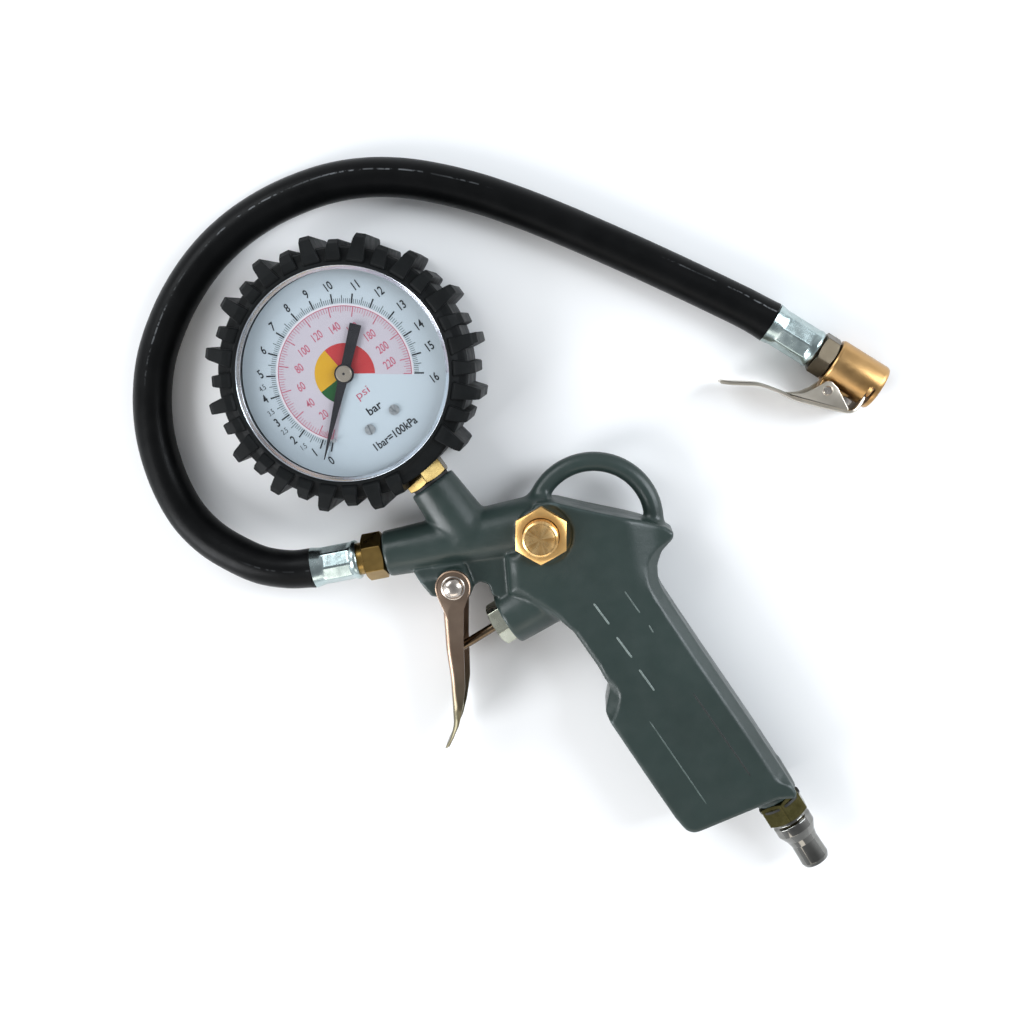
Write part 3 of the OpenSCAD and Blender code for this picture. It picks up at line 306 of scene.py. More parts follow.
# Two tones, the roughness, the bumps, how metallic it is, the scale of the tones and of the roughness,
# and how much it reflects where it isn't metal
FINISHES = {name: finish(name, *row) for name, row in {
    "body_paint": ((0.0175, 0.0285, 0.0255), (0.0240, 0.0385, 0.0350), (0.28, 0.44), CAST, 0, 28, 140, 0.45),
    # lighter paint for the bright dashes: wear, and a painted highlight
    "dash_wear_and_highlight": ((0.10, 0.13, 0.12), (0.18, 0.22, 0.205), (0.3, 0.4), FINE, 0, 400),
    # lighter paint for the faint ribs and the long light line: a painted highlight
    "rib_painted_highlight": ((0.035, 0.055, 0.048), (0.075, 0.105, 0.095), (0.3, 0.4), FINE, 0, 300),
    # near-black paint on a raised strip: painted shade along a raised panel's shaded edge
    "panel_painted_shade": ((0.004, 0.007, 0.006), (0.008, 0.012, 0.011), (0.5, 0.6), FINE),
    "rubber": ((0.0035, 0.0042, 0.0044), (0.0068, 0.0078, 0.0082), (0.42, 0.62), MOULDED, 0, 120, 140, 0.12),
    "seal_rubber": ((0.004, 0.004, 0.004), (0.010, 0.010, 0.010), (0.5, 0.7), FINE),
    "brass": ((0.24, 0.15, 0.045), (0.36, 0.24, 0.08), (0.26, 0.38), FINE, 1, 60, 400),
    # a darker copy of the brass: painted shade, for the gauge stem's hexagon
    "brass_painted_shade": ((0.13, 0.088, 0.03), (0.25, 0.18, 0.07), (0.22, 0.34), FINE, 1, 180, 400),
    "brass_bright": ((0.74, 0.43, 0.15), (0.84, 0.53, 0.21), (0.32, 0.44), FINE, 1, 60, 400),
    "brass_chuck": ((0.43, 0.25, 0.095), (0.53, 0.325, 0.14), (0.28, 0.38), FINE, 1, 60, 400),
    "zinc": ((0.33, 0.41, 0.41), (0.54, 0.64, 0.64), (0.14, 0.32), PLATED, 1, 150, 320),
    "nickel": ((0.10, 0.082, 0.058), (0.17, 0.14, 0.10), (0.28, 0.40), FINE, 1, 70, 260),
    "nickel_bright": ((0.52, 0.47, 0.39), (0.66, 0.61, 0.53), (0.28, 0.42), FINE, 1, 90),
    "nickel_brown": ((0.26, 0.185, 0.135), (0.33, 0.245, 0.185), (0.27, 0.36), ROLLED, 1, 90, 160),
    "rod": ((0.10, 0.065, 0.035), (0.20, 0.15, 0.10), (0.18, 0.3), FINE, 1, 200, 500),
    "gland": ((0.42, 0.43, 0.34), (0.58, 0.59, 0.50), (0.22, 0.34), FINE, 1, 150),
    "hub": ((0.30, 0.265, 0.215), (0.38, 0.34, 0.28), (0.40, 0.5), FINE, 0.35),
    "bezel": ((0.70, 0.74, 0.80), (0.86, 0.90, 0.95), (0.12, 0.24), POLISHED, 1),
    "chrome": ((0.14, 0.14, 0.13), (0.27, 0.265, 0.25), (0.05, 0.16), POLISHED, 1),
    # chrome darkened and tinted olive: a painted reflection, for the plug's hexagon
    "chrome_olive_reflection": ((0.062, 0.055, 0.018), (0.138, 0.122, 0.050), (0.10, 0.2), POLISHED, 1, 220),
    "screw": ((0.30, 0.33, 0.35), (0.56, 0.59, 0.61), (0.3, 0.45), FINE, 0.5, 900),
    "steel": ((0.44, 0.39, 0.35), (0.60, 0.55, 0.50), (0.18, 0.3), FINE, 1, 200, 500),
    "black_case": ((0.006, 0.006, 0.006), (0.012, 0.012, 0.012), (0.15, 0.3), FINE),
    "dial_white": ((0.575, 0.665, 0.725), (0.61, 0.70, 0.76), (0.30, 0.40), [(500, 2, 0.000006)], 0, 30),
    "needle_black": ((0.010, 0.008, 0.010), (0.020, 0.017, 0.020), (0.34, 0.5), FINE),
}.items()}
# lighter raised edges on the cast body: wear, and a painted highlight along them
worn(FINISHES["body_paint"], (0.10, 0.145, 0.15), 0.525, 0.575)
graded(FINISHES["nickel_brown"], (0.145, 0.13, 0.085), -0.102, -0.118)
FINISHES["hose_rubber"] = hose_finish()
FINISHES["brass_turned_sheen"] = turned_brass(BLEED)
FINISHES["clear"] = window_finish()

FINISHES.update({name: finish(name, first, second, (0.4, 0.5), [], 0.0, scale)
                 for name, first, second, scale in (
    ("print_black", (0.012, 0.014, 0.018), (0.030, 0.034, 0.04), 60),
    ("print_grey", (0.06, 0.085, 0.09), (0.15, 0.19, 0.195), 900),
    ("print_red", (0.50, 0.085, 0.15), (0.62, 0.20, 0.27), 700),
    ("print_pink", (0.585, 0.545, 0.61), (0.615, 0.575, 0.64), 60),
    ("print_white", (0.80, 0.76, 0.80), (0.84, 0.80, 0.84), 60),
    ("sector_red", (0.50, 0.035, 0.04), (0.58, 0.055, 0.055), 60),
    ("sector_yellow", (0.68, 0.36, 0.010), (0.74, 0.42, 0.02), 60),
    ("sector_green", (0.006, 0.085, 0.013), (0.010, 0.11, 0.02), 60))})


# ---- mesh code ----

def fillet(points, radius, steps=4, closed=True):
    """Rounds the corners of a flat line of points."""
    line = [Vector(p) for p in points]
    count = len(line)
    out = []
    for i, p in enumerate(line):
        r = radius[i] if isinstance(radius, (list, tuple)) else radius
        if r <= 0 or (not closed and i in (0, count - 1)):
            out.append(tuple(p))
            continue
        a = line[i - 1] - p
        b = line[(i + 1) % count] - p
        u, v = a.normalized(), b.normalized()
        half = math.acos(max(-1, min(1, u.dot(v)))) / 2
        if half > 1.5:
            out.append(tuple(p))
            continue
        reach = min(r / math.tan(half), 0.45 * a.length, 0.45 * b.length)
        true_r = reach * math.tan(half)
        centre = p + (u + v).normalized() * (true_r / math.sin(half))
        start, end = p + u * reach - centre, p + v * reach - centre
        from_a = math.atan2(start.y, start.x)
        sweep = (math.atan2(end.y, end.x) - from_a + math.pi) % (2 * math.pi) - math.pi
        for k in range(steps + 1):
            a = from_a + sweep * k / steps
            out.append((centre.x + true_r * math.cos(a), centre.y + true_r * math.sin(a)))
    return out


def spin(r, a):
    """Point at a distance and an angle."""
    return r * math.cos(a), r * math.sin(a)


def area(points):
    return sum(p[0] * q[1] - q[0] * p[1] for p, q in zip(points, points[1:] + points[:1])) / 2


def inset(points, depth):
    """Moves a flat outline inwards by a small depth."""
    count = len(points)
    turn = 1 if area(points) > 0 else -1
    out = []
    for i in range(count):
        a, p, b = (Vector(points[k % count]) for k in (i - 1, i, i + 1))
        d1, d2 = (p - a).normalized(), (b - p).normalized()
        n1, n2 = Vector((-d1.y, d1.x)) * turn, Vector((-d2.y, d2.x)) * turn
        out.append(tuple(p + (n1 + n2) * depth / max(0.35, 1 + n1.dot(n2))))
    return out


def new_mesh(name, points, faces):
    """A mesh from points in millimetres."""
    made = bpy.data.meshes.new(name)
    made.from_pydata((np.array(points) * MM).tolist(), [], faces)
    return made


@contextmanager
def reworked(mesh):
    """Opens a mesh for bmesh's tools and writes it back."""
    work = bmesh.new()
    work.from_mesh(mesh)
    yield work
    work.to_mesh(mesh)
    work.free()


class Shape:
    """Gathers closed shells in millimetres and makes one mesh of them."""

    def __init__(self):
        self.points = []
        self.faces = []

    def shell(self, rings, matrix=None, loop=False):
        """Joins rings of as many points each, and closes the ends unless they join into a loop."""
        start, n = len(self.points), len(rings[0])
        for ring in rings:
            for p in ring:
                self.points.append(tuple(matrix @ Vector(p)) if matrix else tuple(p))
        for i in range(len(rings) if loop else len(rings) - 1):
            a, b = start + i * n, start + (i + 1) % len(rings) * n
            self.faces += [(a + j, a + (j + 1) % n, b + (j + 1) % n, b + j) for j in range(n)]
        if not loop:
            last = start + (len(rings) - 1) * n
            self.faces.append(tuple(range(start + n - 1, start - 1, -1)))
            self.faces.append(tuple(range(last, last + n)))
        return self

    def lathe(self, profile, matrix, turns=72, loop=False):
        """Turns (radius, height) points round the local Z."""
        rings = [[(*spin(r, 2 * math.pi * j / turns), z) for j in range(turns)] for r, z in profile]
        return self.shell(rings, matrix, loop)

    def prism(self, outline, low, high, edge, matrix):
        """Flat plate from an outline, with rounded edges."""
        rings = []
        for end, way, steps in ((low, 1, (0, 1, 2, 3)), (high, -1, (3, 2, 1, 0))):
            for a in (math.pi / 2 * k / 3 for k in steps):
                z = end + way * (edge * (1 - math.cos(a)))
                rings.append([(x, y, z) for x, y in inset(outline, edge * (1 - math.sin(a)))])
        return self.shell(rings, matrix)

    def nut(self, across, low, high, matrix, ends=(1, 1), turn=0.0, hole=0.0, slope=0.5):
        """Hexagon with turned chamfers on the ends that are asked for."""
        r = across / 2 / math.cos(math.pi / 6)
        outline = fillet([spin(r, turn + k * math.pi / 3) for k in range(6)], 0.35)
        fine = []
        for p, q in zip(outline, outline[1:] + outline[:1]):
            parts = max(1, int(math.dist(p, q) / 0.7))
            fine += [(p[0] + (q[0] - p[0]) * k / parts, p[1] + (q[1] - p[1]) * k / parts)
                     for k in range(parts)]
        flat_r = across / 2 * 0.95

        def ring(z, up, on):
            return [(x, y, z - up * (max(0.0, math.hypot(x, y) - flat_r) * slope * on)) for x, y in fine]

        def disc(z, radius):
            return [(x * radius / math.hypot(x, y), y * radius / math.hypot(x, y), z) for x, y in fine]

        rings = [disc(low, flat_r), ring(low, -1, ends[0]), ring(high, 1, ends[1]), disc(high, flat_r)]
        if hole:
            rings = [disc(low, hole)] + rings + [disc(high, hole)]
            return self.shell(rings, matrix, loop=True)
        return self.shell(rings, matrix)

    def mesh(self, name, sharp=32.0):
        made = new_mesh(name, self.points, self.faces)
        with reworked(made) as work:
            bmesh.ops.remove_doubles(work, verts=work.verts, dist=1e-8)
            bmesh.ops.recalc_face_normals(work, faces=work.faces)
        smooth(made, sharp)
        return made


def smooth(mesh, sharp):
    mesh.shade_smooth()
    mesh.set_sharp_from_angle(angle=math.radians(sharp))


def piece(name, mesh, look, replaces=(), body="gun"):
    made = add(name, mesh)
    mesh.materials.clear()
    mesh.materials.append(FINISHES[look])
    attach(made, body)
    if replaces:
        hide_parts(*replaces)
    return made


def part(name, shape, slot, body="gun", look=None):
    """A piece that stands for the CAD node of the same name."""
    return piece("look_" + name, shape.mesh("look_" + name), look or slot, (name,), body)


def along(x, y, z, angle):
    """Turns the local Z to the horizontal direction at that angle."""
    return (Matrix.Translation((x, y, z)) @ Matrix.Rotation(angle, 4, "Z")
            @ Matrix.Rotation(math.pi / 2, 4, "Y"))


def grip(a, b):
    """Point of the handle: a along it from the valve axis, b towards its back."""
    return (VALVE_CROSS[0] + a * math.cos(GRIP) - b * math.sin(GRIP),
            VALVE_CROSS[1] + a * math.sin(GRIP) + b * math.cos(GRIP))


def on_line(start, angle, z=AXIS_Z):
    """Gives the frame at any distance along a horizontal line."""
    return lambda s: along(start[0] + s * math.cos(angle), start[1] + s * math.sin(angle), z, angle)


barrel_at = on_line((0, BARREL_Y), 0.0)
stem_at = on_line((0, 0), STEM)
valve_at = on_line(BOSS, VALVE)
foot_at = on_line(grip(FOOT_FROM, 0), GRIP)
chuck_at = on_line(CHUCK_AT, CHUCK, CHUCK_AT[2])
CHUCK_FRAME = Matrix.Translation(CHUCK_AT) @ Matrix.Rotation(CHUCK, 4, "Z")


# ---- hose ----

def smooth_line(points, parts):
    """Runs a Catmull-Rom curve through the points."""
    line = [Vector(p) for p in points]
    ends = [line[0] * 2 - line[1]] + line + [line[-1] * 2 - line[-2]]
    out = []
    for i in range(1, len(ends) - 2):
        a, b, c, d = ends[i - 1:i + 3]
        for k in range(parts):
            t = k / parts
            out.append(0.5 * (2 * b + (c - a) * t + (2 * a - 5 * b + 4 * c - d) * t * t
                              + (3 * b - a - 3 * c + d) * t ** 3))
    return out + [line[-1]]


def make_hose():
    sides = 32
    line = smooth_line(HOSE, 6)
    run = [0.0]
    for a, b in zip(line, line[1:]):
        run.append(run[-1] + (b - a).length)
    points, faces, uvs = [], [], []
    for i, p in enumerate(line):
        ahead = line[min(i + 1, len(line) - 1)] - line[max(i - 1, 0)]
        ahead.normalize()
        side = ahead.cross(Vector((0, 0, 1))).normalized()
        up = side.cross(ahead)
        near = min(run[i], run[-1] - run[i])
        r = HOSE_R + 0.3 * max(0.0, 1 - near / 8.0) ** 2
        for j in range(sides):
            b = 2 * math.pi * j / sides
            points.append(p + (side * math.cos(b) + up * math.sin(b)) * r)
    for i in range(len(line) - 1):
        for j in range(sides):
            k = (j + 1) % sides
            faces.append((i * sides + j, i * sides + k, (i + 1) * sides + k, (i + 1) * sides + j))
            low, high = j / sides, (j + 1) / sides
            here, on = run[i] / 100, run[i + 1] / 100
            uvs += [(here, low), (here, high), (on, high), (on, low)]
    last = (len(line) - 1) * sides
    faces += [tuple(range(sides - 1, -1, -1)), tuple(range(last, last + sides))]
    uvs += [(0, 0)] * (2 * sides)
    mesh = bpy.data.meshes.new("hose_tube")
    mesh.from_pydata([p * MM for p in points], [], faces)
    layer = mesh.uv_layers.new(name="run")
    for i, uv in enumerate(uvs):
        layer.data[i].uv = uv
    smooth(mesh, 40)
    tube = piece("hose_tube", mesh, "hose_rubber", ("hose",))
    return tube, [p * MM for p in line], run[-1] * MM


# ---- gun body, from distances on a grid ----

STEP = 0.56
LOW = np.array([-5.08, -177.97, -2.4])
HIGH = np.array([126.0, -36.0, 29.5])

# Outline of the casting at mid height, without the barrel, neck and lugs
OUTLINE = [(38.4, -68.4), (50, -66), (50, -53.4), (57.3, -54.0), (66.7, -58.3), (74.8, -61.7),
           (83.6, -65.4), (91.6, -69.4), (94, -71.8), (93.4, -73.9), (89.0, -77.6), (86.8, -81.6),
           (86.1, -86.4), (86.9, -89.9), (90.7, -99.4), (96.5, -113.4), (108.2, -140.9), (117.6, -164.2),
           (116.8, -166.0), (111, -165.2), (101.6, -167.4), (80.4, -172.3), (76.6, -165.4), (70.5, -151.0),
           (61.7, -129.6), (60.6, -126.4), (62.2, -122.3), (63.9, -118.6), (61.4, -110.6), (55.6, -97.6),
           (50, -91), (45, -86), (36.8, -81.5)]
ROUND = [1.5, 1, 2, 8, 8, 8, 8, 3, 1.2, 1.2, 4, 4, 6, 8, 30, 60, 60, 2.2, 2.2, 5, 5, 4.5, 12, 20, 8, 3, 4, 4,
         12, 2, 1, 1, 1.5]


# The hanging ring, which thins out where the casting hides it
RING_AT = (68.8, -64.2)
RING_R = 20.0
RING_BAR = 3.25
RING_BURIED = (-130, -42)


def axes():
    counts = np.ceil((HIGH - LOW) / STEP).astype(int) + 1
    x, y, z = (LOW[i] + STEP * np.arange(counts[i]) for i in range(3))
    return (x[:, None, None].astype(np.float32), y[None, :, None].astype(np.float32),
            z[None, None, :].astype(np.float32))


def flat_distance(x, y, outline):
    """Signed distance to a polygon on the flat grid."""
    best = np.full(np.broadcast(x, y).shape, 1e9, np.float32)
    inside = np.zeros(best.shape, bool)
    for (ax, ay), (bx, by) in zip(outline, outline[1:] + outline[:1]):
        ex, ey = bx - ax, by - ay
        wx, wy = x - ax, y - ay
        t = np.clip((wx * ex + wy * ey) / max(1e-9, ex * ex + ey * ey), 0, 1)
        best = np.minimum(best, (wx - ex * t) ** 2 + (wy - ey * t) ** 2)
        if ay != by:
            inside ^= ((ay > y) != (by > y)) & (x < ax + (y - ay) * ex / ey)
    return np.where(inside, -np.sqrt(best), np.sqrt(best))


def rounded(flat, height, edge):
    """Joins a flat distance and a height distance with an edge of that radius."""
    a, b = flat + edge, height + edge
    return np.minimum(np.maximum(a, b), 0) + np.hypot(np.maximum(a, 0), np.maximum(b, 0)) - edge


def slab(x, y, z, outline, half, edge, corner):
    return rounded(flat_distance(x, y, fillet(outline, corner, 5)), np.abs(z - AXIS_Z) - half, edge)


def cone(x, y, z, start, angle, r1, r2, length, edge, far_edge=0.6):
    """Round bar along a horizontal line, r1 at its start and r2 at its end."""
    s = (x - start[0]) * math.cos(angle) + (y - start[1]) * math.sin(angle)
    t = (y - start[1]) * math.cos(angle) - (x - start[0]) * math.sin(angle)
    r = np.sqrt(t * t + (z - AXIS_Z) ** 2)
    lean = (r2 - r1) / length
    side = (r - (r1 + lean * s)) / math.sqrt(1 + lean * lean)
    return np.maximum(rounded(side, -s, edge), rounded(side, s - length, far_edge))


def disc(x, y, z, centre, r, low, high, edge):
    side = np.hypot(x - centre[0], y - centre[1]) - r
    return rounded(side, np.maximum(low - z, z - high), edge)


def melt(a, b, k):
    """Union with a fillet of about k."""
    h = np.maximum(k - np.abs(a - b), 0) / k
    return np.minimum(a, b) - h * h * k / 4


def carve(a, b, k):
    return -melt(-a, b, k)


def ramp(value, low, high):
    t = np.clip((value - low) / (high - low), 0, 1)
    return t * t * (3 - 2 * t)


def in_grip(x, y):
    """Distance along the handle and across it, the reverse of grip."""
    x, y = x - VALVE_CROSS[0], y - VALVE_CROSS[1]
    return x * math.cos(GRIP) + y * math.sin(GRIP), y * math.cos(GRIP) - x * math.sin(GRIP)


def flank(x, y):
    """Half thickness of the main slab, which thickens down the handle and thins to the beak."""
    a, _ = in_grip(x, y)
    thin = 1.1 * ramp(-x, -66, -50) * ramp(y, -84, -74)
    return 11.5 - thin + 1.7 * ramp(a, 4, 42) - 3.3 * ramp(x, 78, 90) * ramp(y, -92, -80)


def bevel(x, y):
    """Width of the flat on the flank's edge: wide down the back and in the finger notch."""
    a, b = in_grip(x, y)
    back = 3.5 * ramp(b, -12, -4) * ramp(-y, 70, 80) * ramp(-a, -97, -90)
    notch = 3.8 * (1 - ramp(np.hypot(a - 39, b + 30), 4.0, 8.0))
    front = 1.2 * ramp(-b, 18, 23) * ramp(a, 8, 14) * ramp(-a, -38, -33)
    return back + notch + front


def gun_distance():
    x, y, z = axes()
    flat = flat_distance(x, y, fillet(OUTLINE, ROUND, 5))
    height = np.abs(z - AXIS_Z) - flank(x, y)
    body = rounded(flat, height, 1.1 + 1.5 * ramp(-x, -58, -50) + 1.9 * ramp(-x, -46, -41))
    body = np.maximum(body, (flat + height + bevel(x, y)) / math.sqrt(2))
    web = slab(x, y, z, [
        (16, -63), (46, -63), (46, -88), (37.6, -86.0), (34.6, -83.4), (31.2, -81.6), (30.6, -77.6),
        (28.2, -76.2), (24.8, -77.6), (19.5, -75.7)], 5.5, 0.4, 0.5)
    lug_half = 4.4 + 4.6 * ramp(-y, 65, 73.5)
    lug = slab(x, y, z, [
        (5.6, -66.2), (8.6, -71.9), (11.6, -77.6), (19.5, -79), (25.7, -76), (24, -65)], lug_half, 0.9, 1.0)
    lug = np.minimum(lug, disc(x, y, z, PIVOT, 6.2, AXIS_Z - 9, AXIS_Z + 9, 0.8))
    barrel = cone(x, y, z, (BARREL_X, BARREL_Y), 0.0, 7.7, 10.3, 57.0, 0.9)
    neck = cone(x, y, z, spin(NECK_FROM, STEM), STEM, 8.0, 9.6, 23.0, 0.5, 3.0)
    boss = cone(x, y, z, BOSS, VALVE, 9.3, 11.2, 44.0, 0.9, 3.0)
    foot = cone(x, y, z, grip(88, 0), GRIP, 7.9, 7.6, 12.0, 0.8)
    arc_x, arc_y = x - RING_AT[0], y - RING_AT[1]
    turn = np.arctan2(arc_y, arc_x)
    first, last = np.radians(RING_BURIED)
    ring = np.hypot(np.hypot(arc_x, arc_y) - RING_R, z - AXIS_Z) - RING_BAR
    ring = np.where((turn < last) & (turn > first), ring + 6 * np.maximum(last - turn, 0), ring)
    for bit, soft in ((boss, 1.2), (barrel, 0.9), (neck, 1.2), (np.minimum(lug, web), 0.8), (foot, 1.0),
                      (ring, 2.2)):
        body = melt(body, bit, soft)
    body = np.minimum(body, disc(x, y, z, BLEED, 8.8, AXIS_Z, BLEED_TOP, 0.3))
    body = carve(body, disc(x, y, z, BLEED, 10.2, BLEED_TOP, 40.0, 0.3), 0.4)
    body = carve(body, cone(x, y, z, BOSS, VALVE, 5.5, 5.5, 6.0, 0.1), 0.3)
    return body


CORNERS = np.array([(i, j, k) for i in (0, 1) for j in (0, 1) for k in (0, 1)])
EDGES = [(a, b) for a in range(8) for b in range(a + 1, 8) if abs(CORNERS[b] - CORNERS[a]).sum() == 1]


def skin(field):
    """Closed surface where the distance is zero, one point to each mixed cell."""
    inside = field < 0
    nx, ny, nz = (n - 1 for n in field.shape)
    cut = [(slice(i, i + nx), slice(j, j + ny), slice(k, k + nz)) for i, j, k in CORNERS]
    count = sum(inside[c].astype(np.int8) for c in cut)
    mixed = (count > 0) & (count < 8)
    place = np.argwhere(mixed)
    number = np.full(mixed.shape, -1, np.int64)
    number[mixed] = np.arange(len(place))
    values = np.stack([field[c][mixed] for c in cut], 1)
    total = np.zeros((len(place), 3))
    hits = np.zeros(len(place))
    for a, b in EDGES:
        va, vb = values[:, a], values[:, b]
        on = (va < 0) != (vb < 0)
        t = np.where(on, va / np.where(on, va - vb, 1), 0)
        total += np.where(on[:, None], CORNERS[a] + t[:, None] * (CORNERS[b] - CORNERS[a]), 0)
        hits += on
    points = LOW + STEP * (place + total / hits[:, None])
    faces = []
    for axis in range(3):
        u, v = (axis + 1) % 3, (axis + 2) % 3
        spots = np.argwhere(np.diff(inside, axis=axis))
        within = (spots > 0) & (spots < np.array(field.shape) - 1)
        spots = spots[within[:, u] & within[:, v]]
        ring = []
        for du, dv in ((1, 1), (0, 1), (0, 0), (1, 0)):
            cell = spots.copy()
            cell[:, u] -= du
            cell[:, v] -= dv
            ring.append(number[tuple(cell.T)])
        quads = np.stack(ring, 1)
        out = inside[tuple(spots.T)]
        quads[out] = quads[out][:, ::-1]
        faces.append(quads)
    return points, np.concatenate(faces)


def gun_mesh():
    points, faces = skin(gun_distance())
    mesh = new_mesh("gun_casting", points, faces.tolist())
    with reworked(mesh) as work:
        for _ in range(2):
            bmesh.ops.smooth_vert(work, verts=work.verts, factor=0.4, use_axis_x=True, use_axis_y=True,
                                  use_axis_z=True)
        bmesh.ops.recalc_face_normals(work, faces=work.faces)
    smooth(mesh, 50)
    return mesh


# ---- make everything ----

hose, hose_path, hose_length = make_hose()
piece("gun_casting", gun_mesh(), "body_paint", ("gun_body",))


def strips(name, ends, wide, height, look):
    """Low round ribs on the flank between points (along, across) of the handle, sunk in at their ends."""
    made = Shape()
    for (a1, b1), (a2, b2) in ends:
        rings = []
        for k in range(13):
            share = k / 12
            a, b = a1 + (a2 - a1) * share, b1 + (b2 - b1) * share
            lift = height * min(1.0, 4 * math.sqrt(share * (1 - share))) + 0.25
            ring = []
            for j in range(9):
                turn = math.pi * j / 8
                x, y = grip(a, b + wide / 2 * math.cos(turn))
                ring.append((x, y, AXIS_Z + float(flank(x, y)) - 0.3 + lift * math.sin(turn) ** 0.7))
            ring += [(*grip(a, b + side * wide / 2), AXIS_Z + 10) for side in (-1, 1)]
            rings.append(ring)
        made.shell(rings)
    piece(name, made.mesh(name, 60), look)


# raised lines on the handle's flank: three bright dashes (wear and painted highlight), faint ones and a long
# light line (painted highlight), and a strip painted dark as the painted shade along a raised panel's edge
strips("handle_dashes", (((8.8, -16.0), (17.7, -15.3)), ((22.1, -15.5), (30.9, -14.8)),
                         ((35.0, -14.9), (44.0, -14.4))), 0.8, 0.2, "dash_wear_and_highlight")
strips("handle_ribs", (((10.6, -5.3), (19.8, -4.8)), ((24.3, -4.4), (27.5, -4.5)),
                       ((50.7, -21.2), (86.7, -20.0))), 0.6, 0.15, "rib_painted_highlight")
strips("handle_shade_line", (((50.1, -4.1), (86.1, -2.7)),), 0.7, 0.16, "panel_painted_shade")

# hose end fitting and ferrules
def bar(made, r, length, matrix):
    """Plain round bar between parts."""
    made.lathe([(r, 0), (r, length)], matrix)


fitting = Shape().nut(14, 0, 7.2, barrel_at(-9.0), turn=math.pi / 6, slope=0.45)
bar(fitting, 5.4, 3.0, barrel_at(FERRULE_X))
bar(fitting, 4.8, 6.0, barrel_at(-2.6))
part("hose_fitting", fitting, "brass")


def ferrule(matrix, length):
    """Crimped sleeve: flared collar at the hose end, pressed flats, rolled rim."""
    flats, turns = 8, 160
    made = Shape()
    outer = []
    for k in range(45):
        z = length * k / 44
        rim = max(0.0, 1 - abs(z - length + 0.9) / 0.9)
        mouth = max(0.0, 1 - z / 3.0)
        press = min(1.0, max(0.0, (z - 3.0) / 1.2)) * min(1.0, max(0.0, (length - 2.0 - z) / 0.8))
        ring = []
        for j in range(turns):
            a = 2 * math.pi * j / turns
            across = (a * flats / (2 * math.pi)) % 1 - 0.5
            edge = 5.9 / math.cos(across * 2 * math.pi / flats)
            r = 6.3 * (1 - press) + min(edge, 6.3) * press + 0.3 * math.sqrt(rim) + 0.55 * mouth
            ring.append((*spin(r, a), z))
        outer.append(ring)
    inner = [[(x * q, y * q, z) for x, y, _ in ring] for ring, q, z in
             ((outer[-1], 0.86, length), (outer[0], 0.9, 0.0))]
    made.shell([inner[1]] + outer + [inner[0]], matrix)
    return made


part("gun_ferrule", ferrule(barrel_at(FERRULE_X - GUN_FERRULE), GUN_FERRULE), "zinc")
part("chuck_ferrule", ferrule(chuck_at(0), CHUCK_FERRULE), "zinc")

# gauge stem
socket = Shape().nut(14, 0, 7.6, stem_at(36.8), slope=0.45)
bar(socket, 6.5, 6.0, stem_at(32.4))
bar(socket, 4.8, 8.0, stem_at(43.4))
# the stem's brass is darkened as painted shade
part("gauge_socket", socket, "brass", look="brass_painted_shade")

# valve gland and rod
gland = Shape().nut(13, 0, 4.6, valve_at(-4.6), ends=(1, 0), turn=math.radians(15))
gland.lathe(fillet([(5.6, 4.5), (5.6, 0.2), (3.2, 0.2)], 0.3, 3, False), valve_at(-4.6))
part("gland_nut", gland, "zinc", look="gland")
rod = Shape()
dome = [(0.05 + 1.45 * math.sin(a), -1.5 * math.cos(a)) for a in np.linspace(0, math.pi / 2, 8)]
rod.lathe([(r, z + 1.5) for r, z in dome] + [(1.5, 40.0)], valve_at(-21.196), 32)
part("valve_rod", rod, "steel", "valve_stem", look="rod")

# bleed valve
nut = Shape().nut(16.5, 0, 4.0, Matrix.Translation((*BLEED, BLEED_TOP)), ends=(0, 1),
                  turn=math.radians(18.5), hole=6.1, slope=0.55)
part("bleed_nut", nut, "brass", look="brass_bright")
button = Shape()
button.lathe(fillet([(5.85, 0), (5.85, 11.4), (5.1, 11.8), (4.7, 11.8)], 0.3, 3, False)
             + [(4.5, 11.7), (2.0, 11.78), (0.1, 11.8)], Matrix.Translation((*BLEED, 22.6)), 96)
# the button's top carries a painted reflection of turned sectors
part("bleed_button", button, "brass", "bleed_plunger", look="brass_turned_sheen")

# trigger
FRONT = [(-3.2, -5.0), (-5.0, -7.4), (-5.6, -12.5), (-6.6, -20.2), (-7.2, -30.2), (-8.4, -39),
         (-9.9, -46.5), (-11.8, -50.6), (-14.4, -54)]
REAR = [(2.6, -5.0), (1.8, -8.6), (-0.4, -18.8), (-1.5, -25.3), (-3.1, -34.3), (-5.8, -42), (-8.0, -46.8),
        (-10.5, -50.4), (-13.6, -53.9)]


def at_height(line, y):
    line = sorted((b, a) for a, b in line)
    return float(np.interp(y, [p[0] for p in line], [p[1] for p in line]))


def bend_round(x, z, r, side):
    """Quarter round from the cheek at side * z to the face at x."""
    return [(x + r - r * math.sin(a), side * (z - r + r * math.cos(a)))
            for a in (math.pi / 2 * k / 6 for k in range(7))]


